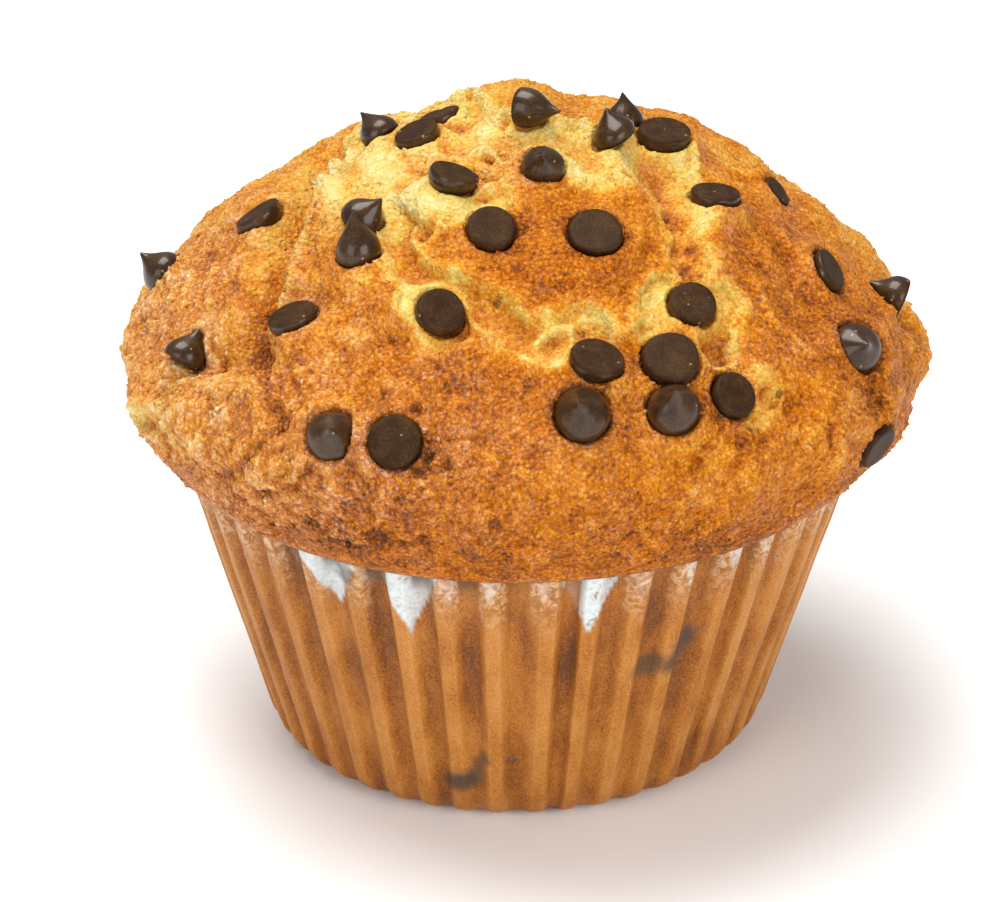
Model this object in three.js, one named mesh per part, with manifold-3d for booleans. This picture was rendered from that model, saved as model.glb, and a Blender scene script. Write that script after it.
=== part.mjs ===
// A large chocolate chip muffin in its fluted paper case.
//
// Millimetres, +Z up. The case stands on z = 0 with its axis on Z, and the side that carries most
// of the chips faces -Y. Places on the risen top are given on a map of the crust laid flat: x and y
// in millimetres along the crust from the crown, or an angle round the dome and a distance from the
// crown, where 270 degrees is the -Y side.

import * as THREE from 'three';
import Module from 'manifold-3d';

const wasm = await Module();
wasm.setup();

// ---- Driving sizes ----

const CONE_RADIUS = 28.5; // radius of the case's cone at the table, for a 57 mm case
const CONE_SLOPE = 0.293; // growth of that radius for each millimetre of height
const CONE_LEAN = 0.022; // the wall leans this much towards +X for each millimetre of height
const CASE_HEIGHT = 37.1; // up to the paper's edge, just under the crust's lip
const CASE_FILLET = 5; // rounding between the wall and the floor
const PAPER = 0.45; // wall of the case, thicker than real paper
const PLEATS = 44;
const PLEAT_DEPTH_TOP = 1.4;
const PLEAT_DEPTH_FLOOR = 0.6;
const PLEAT_PHASE = 0.3; // where the first ridge starts, in pleats
const RIDGE_SHARE = 0.3; // part of a pleat that is ridge, and as much again is valley
const PLEAT_UNEVENNESS = 0.16;
const PLEAT_SEED = 5;

const DOME_SHIFT = 1.05; // the top has risen slightly towards +X
const DOME_RADIUS = 46;
const RIM_HEIGHT = 49.5; // height of the widest place
const DOME_RISE = 27; // from the widest place to the crown
const DOME_POWER = 1.6;
const DOME_FLATTEN = 0.78;
const LIP_HEIGHT = 37.5; // where the crust leaves the case
const LIP_RADIUS = 40.75;
const LIP_CURL = 1.9;

const GAP = 0.3; // between pieces that touch
const POCKET_GAP = 0.4; // round a chip, which leaves a little less at its slanting side
const COLUMNS = 74; // facets round the muffin
const CRUST_ROWS = 27; // rings from the crown to the lip
const PROFILE_STEPS = 240;
const NORMAL_REACH = 0.6; // the dome's slope is taken over this distance to each side

const CASE_COLOUR = 0xb9814c;
const CRUST_COLOUR = 0xc9853a;
const CHOCOLATE_COLOUR = 0x3c281d;

// Broad swellings and hollows of the crust: [x, y, reach in x, reach in y, rise].
const SWELLINGS = [
  [-55, 2, 9, 13, -1], // left flank, a little flat
  [-58, -27, 9, 9, 0.9], // its lower edge hangs out
  [-40, 18, 12, 7, -0.5],
  [55, 4, 10, 9, -0.9], // right flank
  [58, -27, 9, 10, 0.8], // its lower edge
  [38, 17, 14, 9, -0.9],
  [-9, 17, 5, 6, -1.5], // dip behind the crown
  [-2, 15, 5, 6, 0.5],
  [-3, 5, 5, 6, 0.9], // crown ridge
  [24, 17, 6, 5, 1.1], // shoulder right of the crown
  [5, -25, 11, 6, 0.8], // browned plate in the middle
  [-18, -28, 7, 6, 0.6],
  [-38, -14, 9, 12, 0.5], // left lobe
  [-29, -43, 12, 8, 0.5], // front left lobe
  [40, -25, 12, 12, 0.4], // right lobe
];

// Splits in the crust: the run of each on the map, then its half width and depth.
const SPLITS = [
  { run: [[-21, 3], [-24, -7], [-25, -16], [-29, -25], [-31, -29]], reach: 3.2, depth: 3.6 },
  { run: [[-31, -29], [-36, -28], [-41, -24.5]], reach: 2, depth: 2 },
  { run: [[-15, -17], [-13, -23], [-10, -27.5], [-4, -32.5], [2, -36], [6, -38]], reach: 2.4, depth: 1.8 },
  { run: [[15, -8], [18, -15], [19, -21], [20, -26], [23, -34]], reach: 2.4, depth: 1.4 },
  { run: [[-8, -6], [0, -8], [8, -9], [15, -8]], reach: 3.5, depth: 1.1 },
  { run: [[-13, 3], [-9, 1]], reach: 4.5, depth: 2.2 },
  { run: [[-18, 22], [-8, 30], [6, 33], [16, 27]], reach: 2.8, depth: 2 },
  { run: [[20, 20], [27, 32], [26, 44]], reach: 2.6, depth: 1.8 },
  { run: [[-24, 20], [-33, 28], [-36, 38]], reach: 2.6, depth: 1.6 },
];

const BACK_DROP = 0.8; // the back of the dome stands this much lower
const BACK_DROP_START = -4; // and goes down between these two places, front to back
const BACK_DROP_END = 10;
const RIPPLES = 6; // gentle waves that cross each other
const RIPPLE_HEIGHT = 0.2;
const RIPPLE_LENGTH = 9; // of the first wave, and this much more for each of the others
const RIPPLE_LENGTH_STEP = 2.2;
const RIPPLE_TURN = 137.5; // degrees from one wave's heading to the next
const RIPPLE_SHIFT = 1.7;
const LIP_FADE = 6; // the relief dies out over this distance above the lip

const CHIP_SIDES = 10;
const CHIP_FOOT = [0.93, 0]; // share of the half width and of the height, from the base up
const CHIP_RIM = [1, 0.2];
const CHIP_SHOULDER = [0.5, 0.66];

// Chips on the front and the sides: angle round the dome, distance from the crown, how far the
// middle of the chip's flat base stands off the plain dome, then the tip's heading (0 is +X, 90 is
// +Y) and rise in degrees, and the chip's width and height.
const FRONT_CHIPS = [
  [183, 45.5, -0.4, 166, 37, 5.2, 4.1],
  [208, 48.9, -0.3, 36, 51, 4.6, 4.1],
  [192.7, 31.8, 1.2, 347, -57, 5.6, 4.4],
  [225.3, 38.3, 1.1, 5, -73, 5.4, 4.4],
  [230.5, 29.3, 0.2, 180, 82, 5, 5.5],
  [177.5, 16, -0.6, 147, 47, 4.6, 3.8],
  [222.5, 25.4, 0.2, 345, 50, 4.9, 4.5],
  [195.9, 12.1, 0.6, 12, -70, 5, 3.8],
  [165.8, 9.5, -0.4, 328, -69, 4.6, 3.8],
  [244.8, 16.3, 2, 185, -71, 5.5, 4.4],
  [261.9, 22.7, 1.1, 106, -56, 5.4, 4.6],
  [254.4, 33.9, 1, 116, -45, 5.3, 4.4],
  [270, 3.5, 1.2, 334, 2, 4.6, 5.4],
  [281.2, 13.6, 0.2, 262, 45, 4.7, 4.2],
  [290.4, 23.9, 1.1, 101, -66, 6.1, 4.8],
  [332.3, 12.3, 0.2, 178, 64, 5, 3.6],
  [7.8, 12.7, -1.4, 60, 82, 4.4, 4.1],
  [353, 16.4, 1.3, 129, -80, 5.8, 4.4],
  [333.5, 24.9, 1.2, 197, -82, 5.5, 4.4],
  [357, 31.2, 0.3, 168, -40, 3.6, 3.2],
  [304, 35.4, 1, 118, -56, 5.3, 4.6],
  [282.6, 39.5, 1.2, 138, -68, 5.8, 4.4],
  [294.7, 40.9, 1.2, 95, -54, 6.1, 4.8],
  [292.7, 46.7, -0.3, 276, 54, 5.6, 5],
  [302.8, 46.6, 1.1, 134, -43, 5.1, 4.4],
  [278.7, 45.8, -0.3, 275, 52, 6.1, 5],
  [241.9, 49.8, -0.4, 274, 32, 5.7, 4.6],
  [251.7, 49.2, 0.9, 97, -35, 5.7, 4.6],
  [339, 40, 1.2, 167, -34, 5, 4.4],
  [329.8, 47.9, 0, 282, 38, 5.8, 4.2],
  [351.5, 49.4, 0.6, 173, 22, 4.9, 4.4],
  [327.8, 59.4, 1, 141, 21, 5.4, 4.4],
];

// Chips on the back, which a seeded draw spreads as the front ones are.
const BACK_CHIPS = 10;
const BACK_SEED = 17;
const BACK_SPREAD = 56; // degrees to each side of the +Y direction
const BACK_NEAREST = 30; // distance from the crown at the middle of the back, more at the sides
const BACK_NEAREST_SIDE = 18;
const BACK_FARTHEST = 57;
const BACK_SPACING = 10.5;
const BACK_FACE_OUT = 0.6; // part of them that show the flat base
const BACK_LIFT_BASE_OUT = 0.8;
const BACK_LIFT_TIP_OUT = -0.4;
const BACK_LEAN = 0.8;
const BACK_NARROWEST = 4.8;
const BACK_WIDEST = 5.9;
const BACK_TALLNESS = 0.85; // height for each millimetre of width

// The crust follows the tilt of a chip's flat base, so each chip sits in a bed of its own.
const BED_SHARE = 0.75; // a base that faces out shows this share of its lift above its bed
const BED_COVER = 0.4; // the bed climbs this far past a base that faces in
const BED_SLOPE = 2.6; // width of the slope round a bed
const BED_LIMIT = 1.6; // a bed moves the crust by no more than this
const BED_LEAN = 0.45; // a chip whose axis is nearer to the crust than this cosine has no bed

// ---- Small helpers ----

const radians = (degrees) => (degrees * Math.PI) / 180;

const smooth = (from, to, value) => THREE.MathUtils.smoothstep(value, from, to);

// A repeatable stream of numbers between 0 and 1.
function seededDraw(seed) {
  let state = seed;
  return () => {
    state = (Math.imul(state, 1664525) + 1013904223) >>> 0;
    return state / 4294967296;
  };
}

// A closed skin over rings of points, from a point on top to a point underneath.
function closedSkin(top, rings, bottom) {
  const count = rings[0].length;
  const points = [top, ...rings.flat(), bottom];
  const lastRing = 1 + (rings.length - 1) * count;
  const faces = [];
  for (let i = 0; i < count; i += 1) {
    const next = (i + 1) % count;
    faces.push(0, 1 + i, 1 + next);
    for (let ring = 0; ring < rings.length - 1; ring += 1) {
      const upper = 1 + ring * count;
      const lower = upper + count;
      faces.push(upper + i, lower + i, lower + next);
      faces.push(upper + i, lower + next, upper + next);
    }
    faces.push(points.length - 1, lastRing + next, lastRing + i);
  }
  const geometry = new THREE.BufferGeometry().setFromPoints(points);
  geometry.setIndex(faces);
  return geometry;
}

function toSolid(geometry) {
  const mesh = new wasm.Mesh({
    numProp: 3,
    vertProperties: new Float32Array(geometry.getAttribute('position').array),
    triVerts: new Uint32Array(geometry.getIndex().array),
  });
  return new wasm.Manifold(mesh);
}

function toGeometry(solid) {
  const { vertProperties, triVerts } = solid.getMesh();
  const geometry = new THREE.BufferGeometry();
  geometry.setAttribute('position', new THREE.BufferAttribute(new Float32Array(vertProperties), 3));
  geometry.setIndex(Array.from(triVerts));
  return geometry;
}

function makeMesh(name, geometry, colour, roughness) {
  geometry.computeVertexNormals();
  const material = new THREE.MeshStandardMaterial({ color: colour, roughness, metalness: 0 });
  const mesh = new THREE.Mesh(geometry, material);
  mesh.name = name;
  return mesh;
}

// ---- The risen top ----

// Radius and height at each step along the plain dome, with the distance from the crown.
function domeProfile() {
  const steps = [];
  for (let i = 0; i <= PROFILE_STEPS; i += 1) {
    const share = i / PROFILE_STEPS;
    const radius = DOME_RADIUS * Math.sin((share * Math.PI) / 2);
    const flat = 1 - (radius / DOME_RADIUS) ** DOME_POWER;
    steps.push({ radius, height: RIM_HEIGHT + DOME_RISE * flat ** DOME_FLATTEN });
  }
  for (let i = 1; i <= PROFILE_STEPS; i += 1) {
    const share = i / PROFILE_STEPS;
    steps.push({
      radius: DOME_RADIUS - (DOME_RADIUS - LIP_RADIUS) * share ** LIP_CURL,
      height: RIM_HEIGHT - (RIM_HEIGHT - LIP_HEIGHT) * share,
    });
  }
  steps[0].distance = 0;
  for (let i = 1; i < steps.length; i += 1) {
    const rise = steps[i].height - steps[i - 1].height;
    const run = steps[i].radius - steps[i - 1].radius;
    steps[i].distance = steps[i - 1].distance + Math.hypot(rise, run);
  }
  return steps;
}

const PROFILE = domeProfile();
const LIP_DISTANCE = PROFILE[PROFILE.length - 1].distance;

function profileAt(distance) {
  const wanted = THREE.MathUtils.clamp(distance, 0, LIP_DISTANCE);
  const upper = Math.max(1, PROFILE.findIndex((step) => step.distance >= wanted));
  const a = PROFILE[upper - 1];
  const b = PROFILE[upper];
  const share = (wanted - a.distance) / (b.distance - a.distance);
  return {
    radius: THREE.MathUtils.lerp(a.radius, b.radius, share),
    height: THREE.MathUtils.lerp(a.height, b.height, share),
  };
}

function domePoint(angle, distance) {
  const { radius, height } = profileAt(distance);
  return new THREE.Vector3(DOME_SHIFT + radius * Math.cos(angle), radius * Math.sin(angle), height);
}

function domeNormal(angle, distance) {
  const before = profileAt(distance - NORMAL_REACH);
  const after = profileAt(distance + NORMAL_REACH);
  const out = before.height - after.height;
  const up = after.radius - before.radius;
  return new THREE.Vector3(out * Math.cos(angle), out * Math.sin(angle), up).normalize();
}

function distanceToRun(run, x, y) {
  let nearest = Infinity;
  for (let i = 1; i < run.length; i += 1) {
    const [startX, startY] = run[i - 1];
    const alongX = run[i][0] - startX;
    const alongY = run[i][1] - startY;
    const share = ((x - startX) * alongX + (y - startY) * alongY) / (alongX ** 2 + alongY ** 2);
    const held = THREE.MathUtils.clamp(share, 0, 1);
    nearest = Math.min(nearest, Math.hypot(x - startX - held * alongX, y - startY - held * alongY));
  }
  return nearest;
}

// How far the crust stands off the plain dome at a place on the map.
function relief(x, y) {
  let height = -BACK_DROP * smooth(BACK_DROP_START, BACK_DROP_END, y);
  for (const [middleX, middleY, reachX, reachY, rise] of SWELLINGS) {
    height += rise * Math.exp(-(((x - middleX) / reachX) ** 2) - ((y - middleY) / reachY) ** 2);
  }
  for (const { run, reach, depth } of SPLITS) {
    height -= depth * Math.exp(-((distanceToRun(run, x, y) / reach) ** 2));
  }
  for (let i = 0; i < RIPPLES; i += 1) {
    const heading = radians(RIPPLE_TURN * i);
    const along = x * Math.cos(heading) + y * Math.sin(heading);
    const wave = (2 * Math.PI) / (RIPPLE_LENGTH + RIPPLE_LENGTH_STEP * i);
    height += RIPPLE_HEIGHT * Math.sin(wave * along + RIPPLE_SHIFT * i * i);
  }
  return height * smooth(0, LIP_FADE, LIP_DISTANCE - Math.hypot(x, y));
}

function crustPoint(angle, distance) {
  const height = relief(distance * Math.cos(angle), distance * Math.sin(angle));
  return domePoint(angle, distance).addScaledVector(domeNormal(angle, distance), height);
}

// A point of the crust moved towards the bed of each chip that is near it.
function beddedPoint(angle, distance, chips) {
  const plain = domePoint(angle, distance);
  const outward = domeNormal(angle, distance);
  const unbedded = crustPoint(angle, distance).sub(plain).dot(outward);
  const fade = smooth(0, LIP_FADE, LIP_DISTANCE - distance);
  let height = unbedded;
  for (const { base, tip, wide, showing } of chips) {
    const away = plain.clone().sub(base);
    const above = away.dot(tip);
    const across = Math.sqrt(away.lengthSq() - above ** 2);
    const facing = Math.abs(tip.dot(outward));
    const share = fade * (1 - smooth(wide / 2, wide / 2 + BED_SLOPE, across));
    if (share > 0 && facing > BED_LEAN && Math.abs(above) < wide) {
      const baseOut = tip.dot(outward) < 0;
      const bed = (baseOut ? above - showing : BED_COVER - above) / facing;
      const lowest = baseOut ? unbedded - BED_LIMIT : unbedded;
      const held = THREE.MathUtils.clamp(bed, lowest, unbedded + BED_LIMIT);
      height = THREE.MathUtils.lerp(height, held, share);
    }
  }
  return plain.addScaledVector(outward, height);
}

function ringOf(count, pointAt) {
  return Array.from({ length: count }, (_, i) => pointAt((2 * Math.PI * i) / count, i));
}

function wallPoint(angle, radius, height) {
  return new THREE.Vector3(CONE_LEAN * height + radius * Math.cos(angle), radius * Math.sin(angle), height);
}

// Rows of [radius, height] down a cone whose lower edge is rounded, ending on its floor.
function roundedCone(baseRadius, floorHeight, topHeight, fillet) {
  const lean = Math.atan(CONE_SLOPE);
  const centreHeight = floorHeight + fillet;
  const centreRadius = baseRadius + CONE_SLOPE * centreHeight - fillet / Math.cos(lean);
  const rows = [[baseRadius + CONE_SLOPE * topHeight, topHeight]];
  for (const turn of [lean, (lean + Math.PI / 2) / 2, Math.PI / 2]) {
    rows.push([centreRadius + fillet * Math.cos(turn), centreHeight - fillet * Math.sin(turn)]);
  }
  return rows;
}

function muffinSolid(chips) {
  const rings = [];
  for (let row = 1; row <= CRUST_ROWS; row += 1) {
    const distance = (LIP_DISTANCE * row) / CRUST_ROWS;
    rings.push(ringOf(COLUMNS, (angle) => beddedPoint(angle, distance, chips)));
  }
  const inset = PLEAT_DEPTH_TOP * (1 + PLEAT_UNEVENNESS) + PAPER + GAP;
  const floor = PAPER + GAP;
  for (const [radius, height] of roundedCone(CONE_RADIUS - inset, floor, LIP_HEIGHT, CASE_FILLET)) {
    rings.push(ringOf(COLUMNS, (angle) => wallPoint(angle, radius, height)));
  }
  return toSolid(closedSkin(beddedPoint(0, 0, chips), rings, new THREE.Vector3(0, 0, floor)));
}

// ---- The paper case ----

// Angles and depths round the pleats, four corners each, with every pleat a little different.
function pleatCorners() {
  const draw = seededDraw(PLEAT_SEED);
  const corners = [];
  for (let pleat = 0; pleat < PLEATS; pleat += 1) {
    const drift = PLEAT_UNEVENNESS * (draw() - 0.5);
    const depth = 1 + PLEAT_UNEVENNESS * (draw() - 0.5) * 2;
    const ridge = pleat + PLEAT_PHASE + drift;
    const turns = [ridge, ridge + RIDGE_SHARE, ridge + 0.5, ridge + 0.5 + RIDGE_SHARE];
    turns.forEach((turn, corner) => {
      corners.push({ angle: (2 * Math.PI * turn) / PLEATS, depth: corner < 2 ? 0 : depth });
    });
  }
  return corners;
}

function caseMesh() {
  const corners = pleatCorners();
  const ringAt = (radius, height) => {
    const depth = THREE.MathUtils.mapLinear(height, 0, CASE_HEIGHT, PLEAT_DEPTH_FLOOR, PLEAT_DEPTH_TOP);
    return corners.map((corner) => wallPoint(corner.angle, radius - depth * corner.depth, height));
  };
  const outside = roundedCone(CONE_RADIUS, 0, CASE_HEIGHT, CASE_FILLET);
  const inside = roundedCone(CONE_RADIUS - PAPER, PAPER, CASE_HEIGHT, CASE_FILLET).reverse();
  const rings = [...inside, ...outside].map(([radius, height]) => ringAt(radius, height));
  const skin = closedSkin(new THREE.Vector3(0, 0, PAPER), rings, new THREE.Vector3(0, 0, 0));
  return makeMesh('paper_case', skin, CASE_COLOUR, 0.55);
}

// ---- The chocolate chips ----

// A chip stands on its flat base at the origin with its tip along +Z. Grown, it is its own pocket.
function chipGeometry(wide, tall, growth) {
  const half = wide / 2 + growth;
  const foot = -growth;
  const peak = tall + 2 * growth;
  const rings = [CHIP_SHOULDER, CHIP_RIM, CHIP_FOOT].map(([share, level]) => ringOf(CHIP_SIDES, (angle) => {
    const height = THREE.MathUtils.lerp(foot, peak, level);
    return new THREE.Vector3(half * share * Math.cos(angle), half * share * Math.sin(angle), height);
  }));
  return closedSkin(new THREE.Vector3(0, 0, peak), rings, new THREE.Vector3(0, 0, foot));
}

function frontChips() {
  return FRONT_CHIPS.map(([turn, distance, lift, heading, rise, wide, tall]) => {
    const angle = radians(turn);
    const base = domePoint(angle, distance).addScaledVector(domeNormal(angle, distance), lift);
    const flat = Math.cos(radians(rise));
    const tip = new THREE.Vector3(
      flat * Math.cos(radians(heading)),
      flat * Math.sin(radians(heading)),
      Math.sin(radians(rise)),
    );
    return { base, tip, wide, tall, showing: BED_SHARE * lift };
  });
}

function backChips() {
  const draw = seededDraw(BACK_SEED);
  const chips = [];
  while (chips.length < BACK_CHIPS) {
    const side = 2 * draw() - 1;
    const angle = radians(90 + BACK_SPREAD * side);
    const nearest = BACK_NEAREST + BACK_NEAREST_SIDE * Math.abs(side);
    const distance = THREE.MathUtils.lerp(nearest, BACK_FARTHEST, draw());
    const baseOut = draw() < BACK_FACE_OUT;
    const lean = new THREE.Vector3(draw() - 0.5, draw() - 0.5, draw() - 0.5);
    const wide = THREE.MathUtils.lerp(BACK_NARROWEST, BACK_WIDEST, draw());
    const outward = domeNormal(angle, distance);
    const lift = baseOut ? BACK_LIFT_BASE_OUT : BACK_LIFT_TIP_OUT;
    const base = crustPoint(angle, distance).addScaledVector(outward, lift);
    if (chips.every((chip) => chip.base.distanceTo(base) > BACK_SPACING)) {
      const tip = outward.multiplyScalar(baseOut ? -1 : 1).addScaledVector(lean, BACK_LEAN).normalize();
      chips.push({ base, tip, wide, tall: BACK_TALLNESS * wide, showing: BED_SHARE * lift });
    }
  }
  return chips;
}

function placeChip(mesh, chip) {
  mesh.position.copy(chip.base);
  mesh.quaternion.setFromUnitVectors(new THREE.Vector3(0, 0, 1), chip.tip);
  mesh.updateMatrixWorld();
}

// ---- Together ----

const chips = [...frontChips(), ...backChips()];
const model = new THREE.Group();
model.name = 'chocolate_chip_muffin';

let muffin = muffinSolid(chips);
chips.forEach((chip, i) => {
  const name = `chip_${String(i + 1).padStart(2, '0')}`;
  const mesh = makeMesh(name, chipGeometry(chip.wide, chip.tall, 0), CHOCOLATE_COLOUR, 0.35);
  placeChip(mesh, chip);
  model.add(mesh);
  const pocket = chipGeometry(chip.wide, chip.tall, POCKET_GAP).applyMatrix4(mesh.matrixWorld);
  muffin = muffin.subtract(toSolid(pocket));
});

model.add(makeMesh('muffin', toGeometry(muffin), CRUST_COLOUR, 0.7));
model.add(caseMesh());

export default model;
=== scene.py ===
# %% [markdown]
# # A chocolate chip muffin in its paper case
#
# The CAD part brings three kinds of solid: the baked muffin, its pleated paper case and 42 chocolate
# chips. Here each of them gets a finer mesh and a finish of its own. The CAD solids stay where they
# are, as the frame that every piece is fitted to, and only what stands for them is shown.

# %% The frame
import math

import bpy
import numpy as np
from mathutils import Matrix, Vector


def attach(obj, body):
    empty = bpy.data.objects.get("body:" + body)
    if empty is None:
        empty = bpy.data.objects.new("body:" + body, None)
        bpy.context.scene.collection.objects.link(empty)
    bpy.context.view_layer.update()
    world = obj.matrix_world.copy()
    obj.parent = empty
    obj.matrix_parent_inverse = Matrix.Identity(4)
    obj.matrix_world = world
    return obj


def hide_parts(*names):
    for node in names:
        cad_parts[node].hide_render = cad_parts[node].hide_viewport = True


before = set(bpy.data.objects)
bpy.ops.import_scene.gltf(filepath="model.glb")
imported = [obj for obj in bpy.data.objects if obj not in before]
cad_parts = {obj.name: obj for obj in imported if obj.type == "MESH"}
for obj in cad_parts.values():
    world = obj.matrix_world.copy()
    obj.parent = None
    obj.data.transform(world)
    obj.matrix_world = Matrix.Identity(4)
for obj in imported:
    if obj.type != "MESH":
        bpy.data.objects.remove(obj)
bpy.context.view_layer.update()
print("nodes in the frame:", len(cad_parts))

# %% [markdown]
# ## Tools for the mesh work
#
# A crust is random, but it has to be the same crust each time. So the roughness comes from smooth
# noise that is worked out from a place and a seed, and the same place always gets the same lump. The
# place is put in a lattice of cells, every corner of a cell draws a slope, and the slopes are blended.

# %% Noise
CORNERS = [(i, j, k) for i in (0, 1) for j in (0, 1) for k in (0, 1)]
PRIMES = (73856093, 19349663, 83492791)
SEED_PRIME = 2654435761
STIR = (6364136223846793005, 3202034522624059733)
LATTICE_START = 100
SEED_STEP = 7.3
LUMP_GAIN = 3.2


def drawn(cell, seed):
    """A number between 0 and 1 for each cell of a lattice, always the same for the same cell."""
    x, y, z = (cell[:, axis].astype(np.uint64) * np.uint64(PRIMES[axis]) for axis in range(3))
    mixed = (x ^ y ^ z ^ np.uint64(seed * SEED_PRIME % 2**32)) * np.uint64(STIR[0])
    mixed = (mixed ^ (mixed >> np.uint64(29))) * np.uint64(STIR[1])
    return (mixed >> np.uint64(40)).astype(float) / 2**24


def lumps(places, size, seed):
    """Smooth noise between about -1 and 1 whose swellings are `size` across."""
    cell = places / size + LATTICE_START + SEED_STEP * seed
    corner = np.floor(cell)
    part = cell - corner
    fade = part**3 * (part * (6 * part - 15) + 10)
    total = np.zeros(len(places))
    for step in CORNERS:
        at = corner + step
        slope = np.stack([drawn(at, 3 * seed + axis) - 0.5 for axis in range(3)], axis=1)
        weight = np.prod(np.where(np.array(step) == 1, fade, 1 - fade), axis=1)
        total += weight * np.sum(slope * (part - step), axis=1)
    return LUMP_GAIN * total


def smooth(start, end, value):
    """0 before `start`, 1 after `end`, and an even S between them."""
    share = np.clip((value - start) / (end - start), 0, 1)
    return share * share * (3 - 2 * share)


sample = lumps(np.arange(3000).reshape(-1, 3) / 7, 3.0, 1)
print("noise runs from", round(sample.min(), 2), "to", round(sample.max(), 2))

# %% [markdown]
# All the measures are in millimetres, and only the finished mesh is turned into metres. What differs
# from point to point, such as how much the crust is baked, is painted on the points as numbers. That
# keeps the finish in place on any mesh, with no picture and no unwrapping.

# %% Meshes and painted numbers
MM = 0.001


def make_piece(name, points, faces, material):
    """A smooth mesh object from places in millimetres."""
    mesh = bpy.data.meshes.new(name)
    mesh.from_pydata((np.asarray(points) * MM).tolist(), [], faces)
    mesh.validate()
    mesh.shade_smooth()
    mesh.materials.append(material)
    piece = bpy.data.objects.new(name, mesh)
    bpy.context.scene.collection.objects.link(piece)
    return piece


def paint(piece, name, values):
    """Keeps one number for each point of the mesh, which the material reads by its name."""
    layer = piece.data.attributes.new(name, "FLOAT", "POINT")
    layer.data.foreach_set("value", np.asarray(values, dtype=np.float32))


# %% [markdown]
# ## Tools for the materials
#
# The colours are written as sRGB hex values, as a paint chart gives them, and one function turns
# them to the linear values that the renderer works with. Every pattern starts from the place on the
# object in millimetres, so that its scale is a real size.

# %% Colours and nodes
def linear(hex_colour):
    """An sRGB colour such as "#C98237" as a linear RGBA tuple."""
    channels = [int(hex_colour[i : i + 2], 16) / 255 for i in (1, 3, 5)]
    low = [c / 12.92 for c in channels]
    high = [((c + 0.055) / 1.055) ** 2.4 for c in channels]
    return tuple(a if c <= 0.04045 else b for c, a, b in zip(channels, low, high)) + (1.0,)


def new_material(name):
    """A material without nodes, and its tree of nodes."""
    material = bpy.data.materials.new(name)
    material.use_nodes = True
    material.node_tree.nodes.clear()
    return material, material.node_tree


def add(tree, kind, inputs, **settings):
    """Adds a node. `inputs` gives each socket its value, or the node whose output feeds it."""
    node = tree.nodes.new("ShaderNode" + kind)
    for name, value in settings.items():
        setattr(node, name, value)
    for socket, value in inputs.items():
        if isinstance(value, bpy.types.Node):
            value = value.outputs[0]
        if isinstance(value, bpy.types.NodeSocket):
            tree.links.new(value, node.inputs[socket])
        else:
            node.inputs[socket].default_value = value
    return node


def set_stops(ramp, stops):
    """Gives a colour ramp its stops, as (position, hex colour)."""
    elements = ramp.color_ramp.elements
    while len(elements) < len(stops):
        elements.new(0.5)
    for element, (position, colour) in zip(elements, stops):
        element.position = position
        element.color = linear(colour)
    return ramp


# %% [markdown]
# ## The plain dome and its map
#
# The top of the muffin is a dome that has risen over the case. Its plain shape is a curve turned
# round an axis, with the same sizes as the CAD part. Everything on it is placed on a map of the
# crust laid flat: x and y in millimetres along the crust from the crown, with -y to the front.

# %% The dome
DOME_SHIFT = 1.05
DOME_RADIUS = 46.0
RIM_HEIGHT = 49.5
DOME_RISE = 27.0
DOME_POWER = 1.6
DOME_FLATTEN = 0.78
LIP_HEIGHT = 37.5
LIP_RADIUS = 40.75
LIP_CURL = 1.9
PROFILE_STEPS = 240
TANGENT_REACH = 0.6

share = np.linspace(0, 1, PROFILE_STEPS + 1)
over = DOME_RADIUS * np.sin(share * math.pi / 2)
over_height = RIM_HEIGHT + DOME_RISE * (1 - (over / DOME_RADIUS) ** DOME_POWER) ** DOME_FLATTEN
under = DOME_RADIUS - (DOME_RADIUS - LIP_RADIUS) * share[1:] ** LIP_CURL
under_height = RIM_HEIGHT - (RIM_HEIGHT - LIP_HEIGHT) * share[1:]
radii = np.concatenate([over, under])
heights = np.concatenate([over_height, under_height])
distances = np.concatenate([[0], np.cumsum(np.hypot(np.diff(radii), np.diff(heights)))])
LIP_DISTANCE = distances[-1]


def dome(x, y):
    """Places on the plain dome and the directions straight out of it, for places on the map."""
    distance = np.hypot(x, y)
    angle = np.arctan2(y, x)
    radius = np.interp(distance, distances, radii)
    places = np.stack(
        [
            DOME_SHIFT + radius * np.cos(angle),
            radius * np.sin(angle),
            np.interp(distance, distances, heights),
        ],
        axis=1,
    )
    before = np.maximum(distance - TANGENT_REACH, 0)
    after = np.minimum(distance + TANGENT_REACH, LIP_DISTANCE)
    out = np.interp(before, distances, heights) - np.interp(after, distances, heights)
    up = np.interp(after, distances, radii) - np.interp(before, distances, radii)
    length = np.hypot(out, up)
    normals = np.stack([out * np.cos(angle), out * np.sin(angle), up], axis=1) / length[:, None]
    return places, normals


print("crown to lip along the crust, mm:", round(LIP_DISTANCE, 1))

# %% [markdown]
# ## Where the chips sit
#
# The chips were dropped on the batter, so some lie flat side out and some tip out. Each CAD chip
# has one large flat face, its base. Its middle and its direction say where the finer chip goes,
# and the crust needs them too, because dough climbs a little way up each chip.


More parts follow.
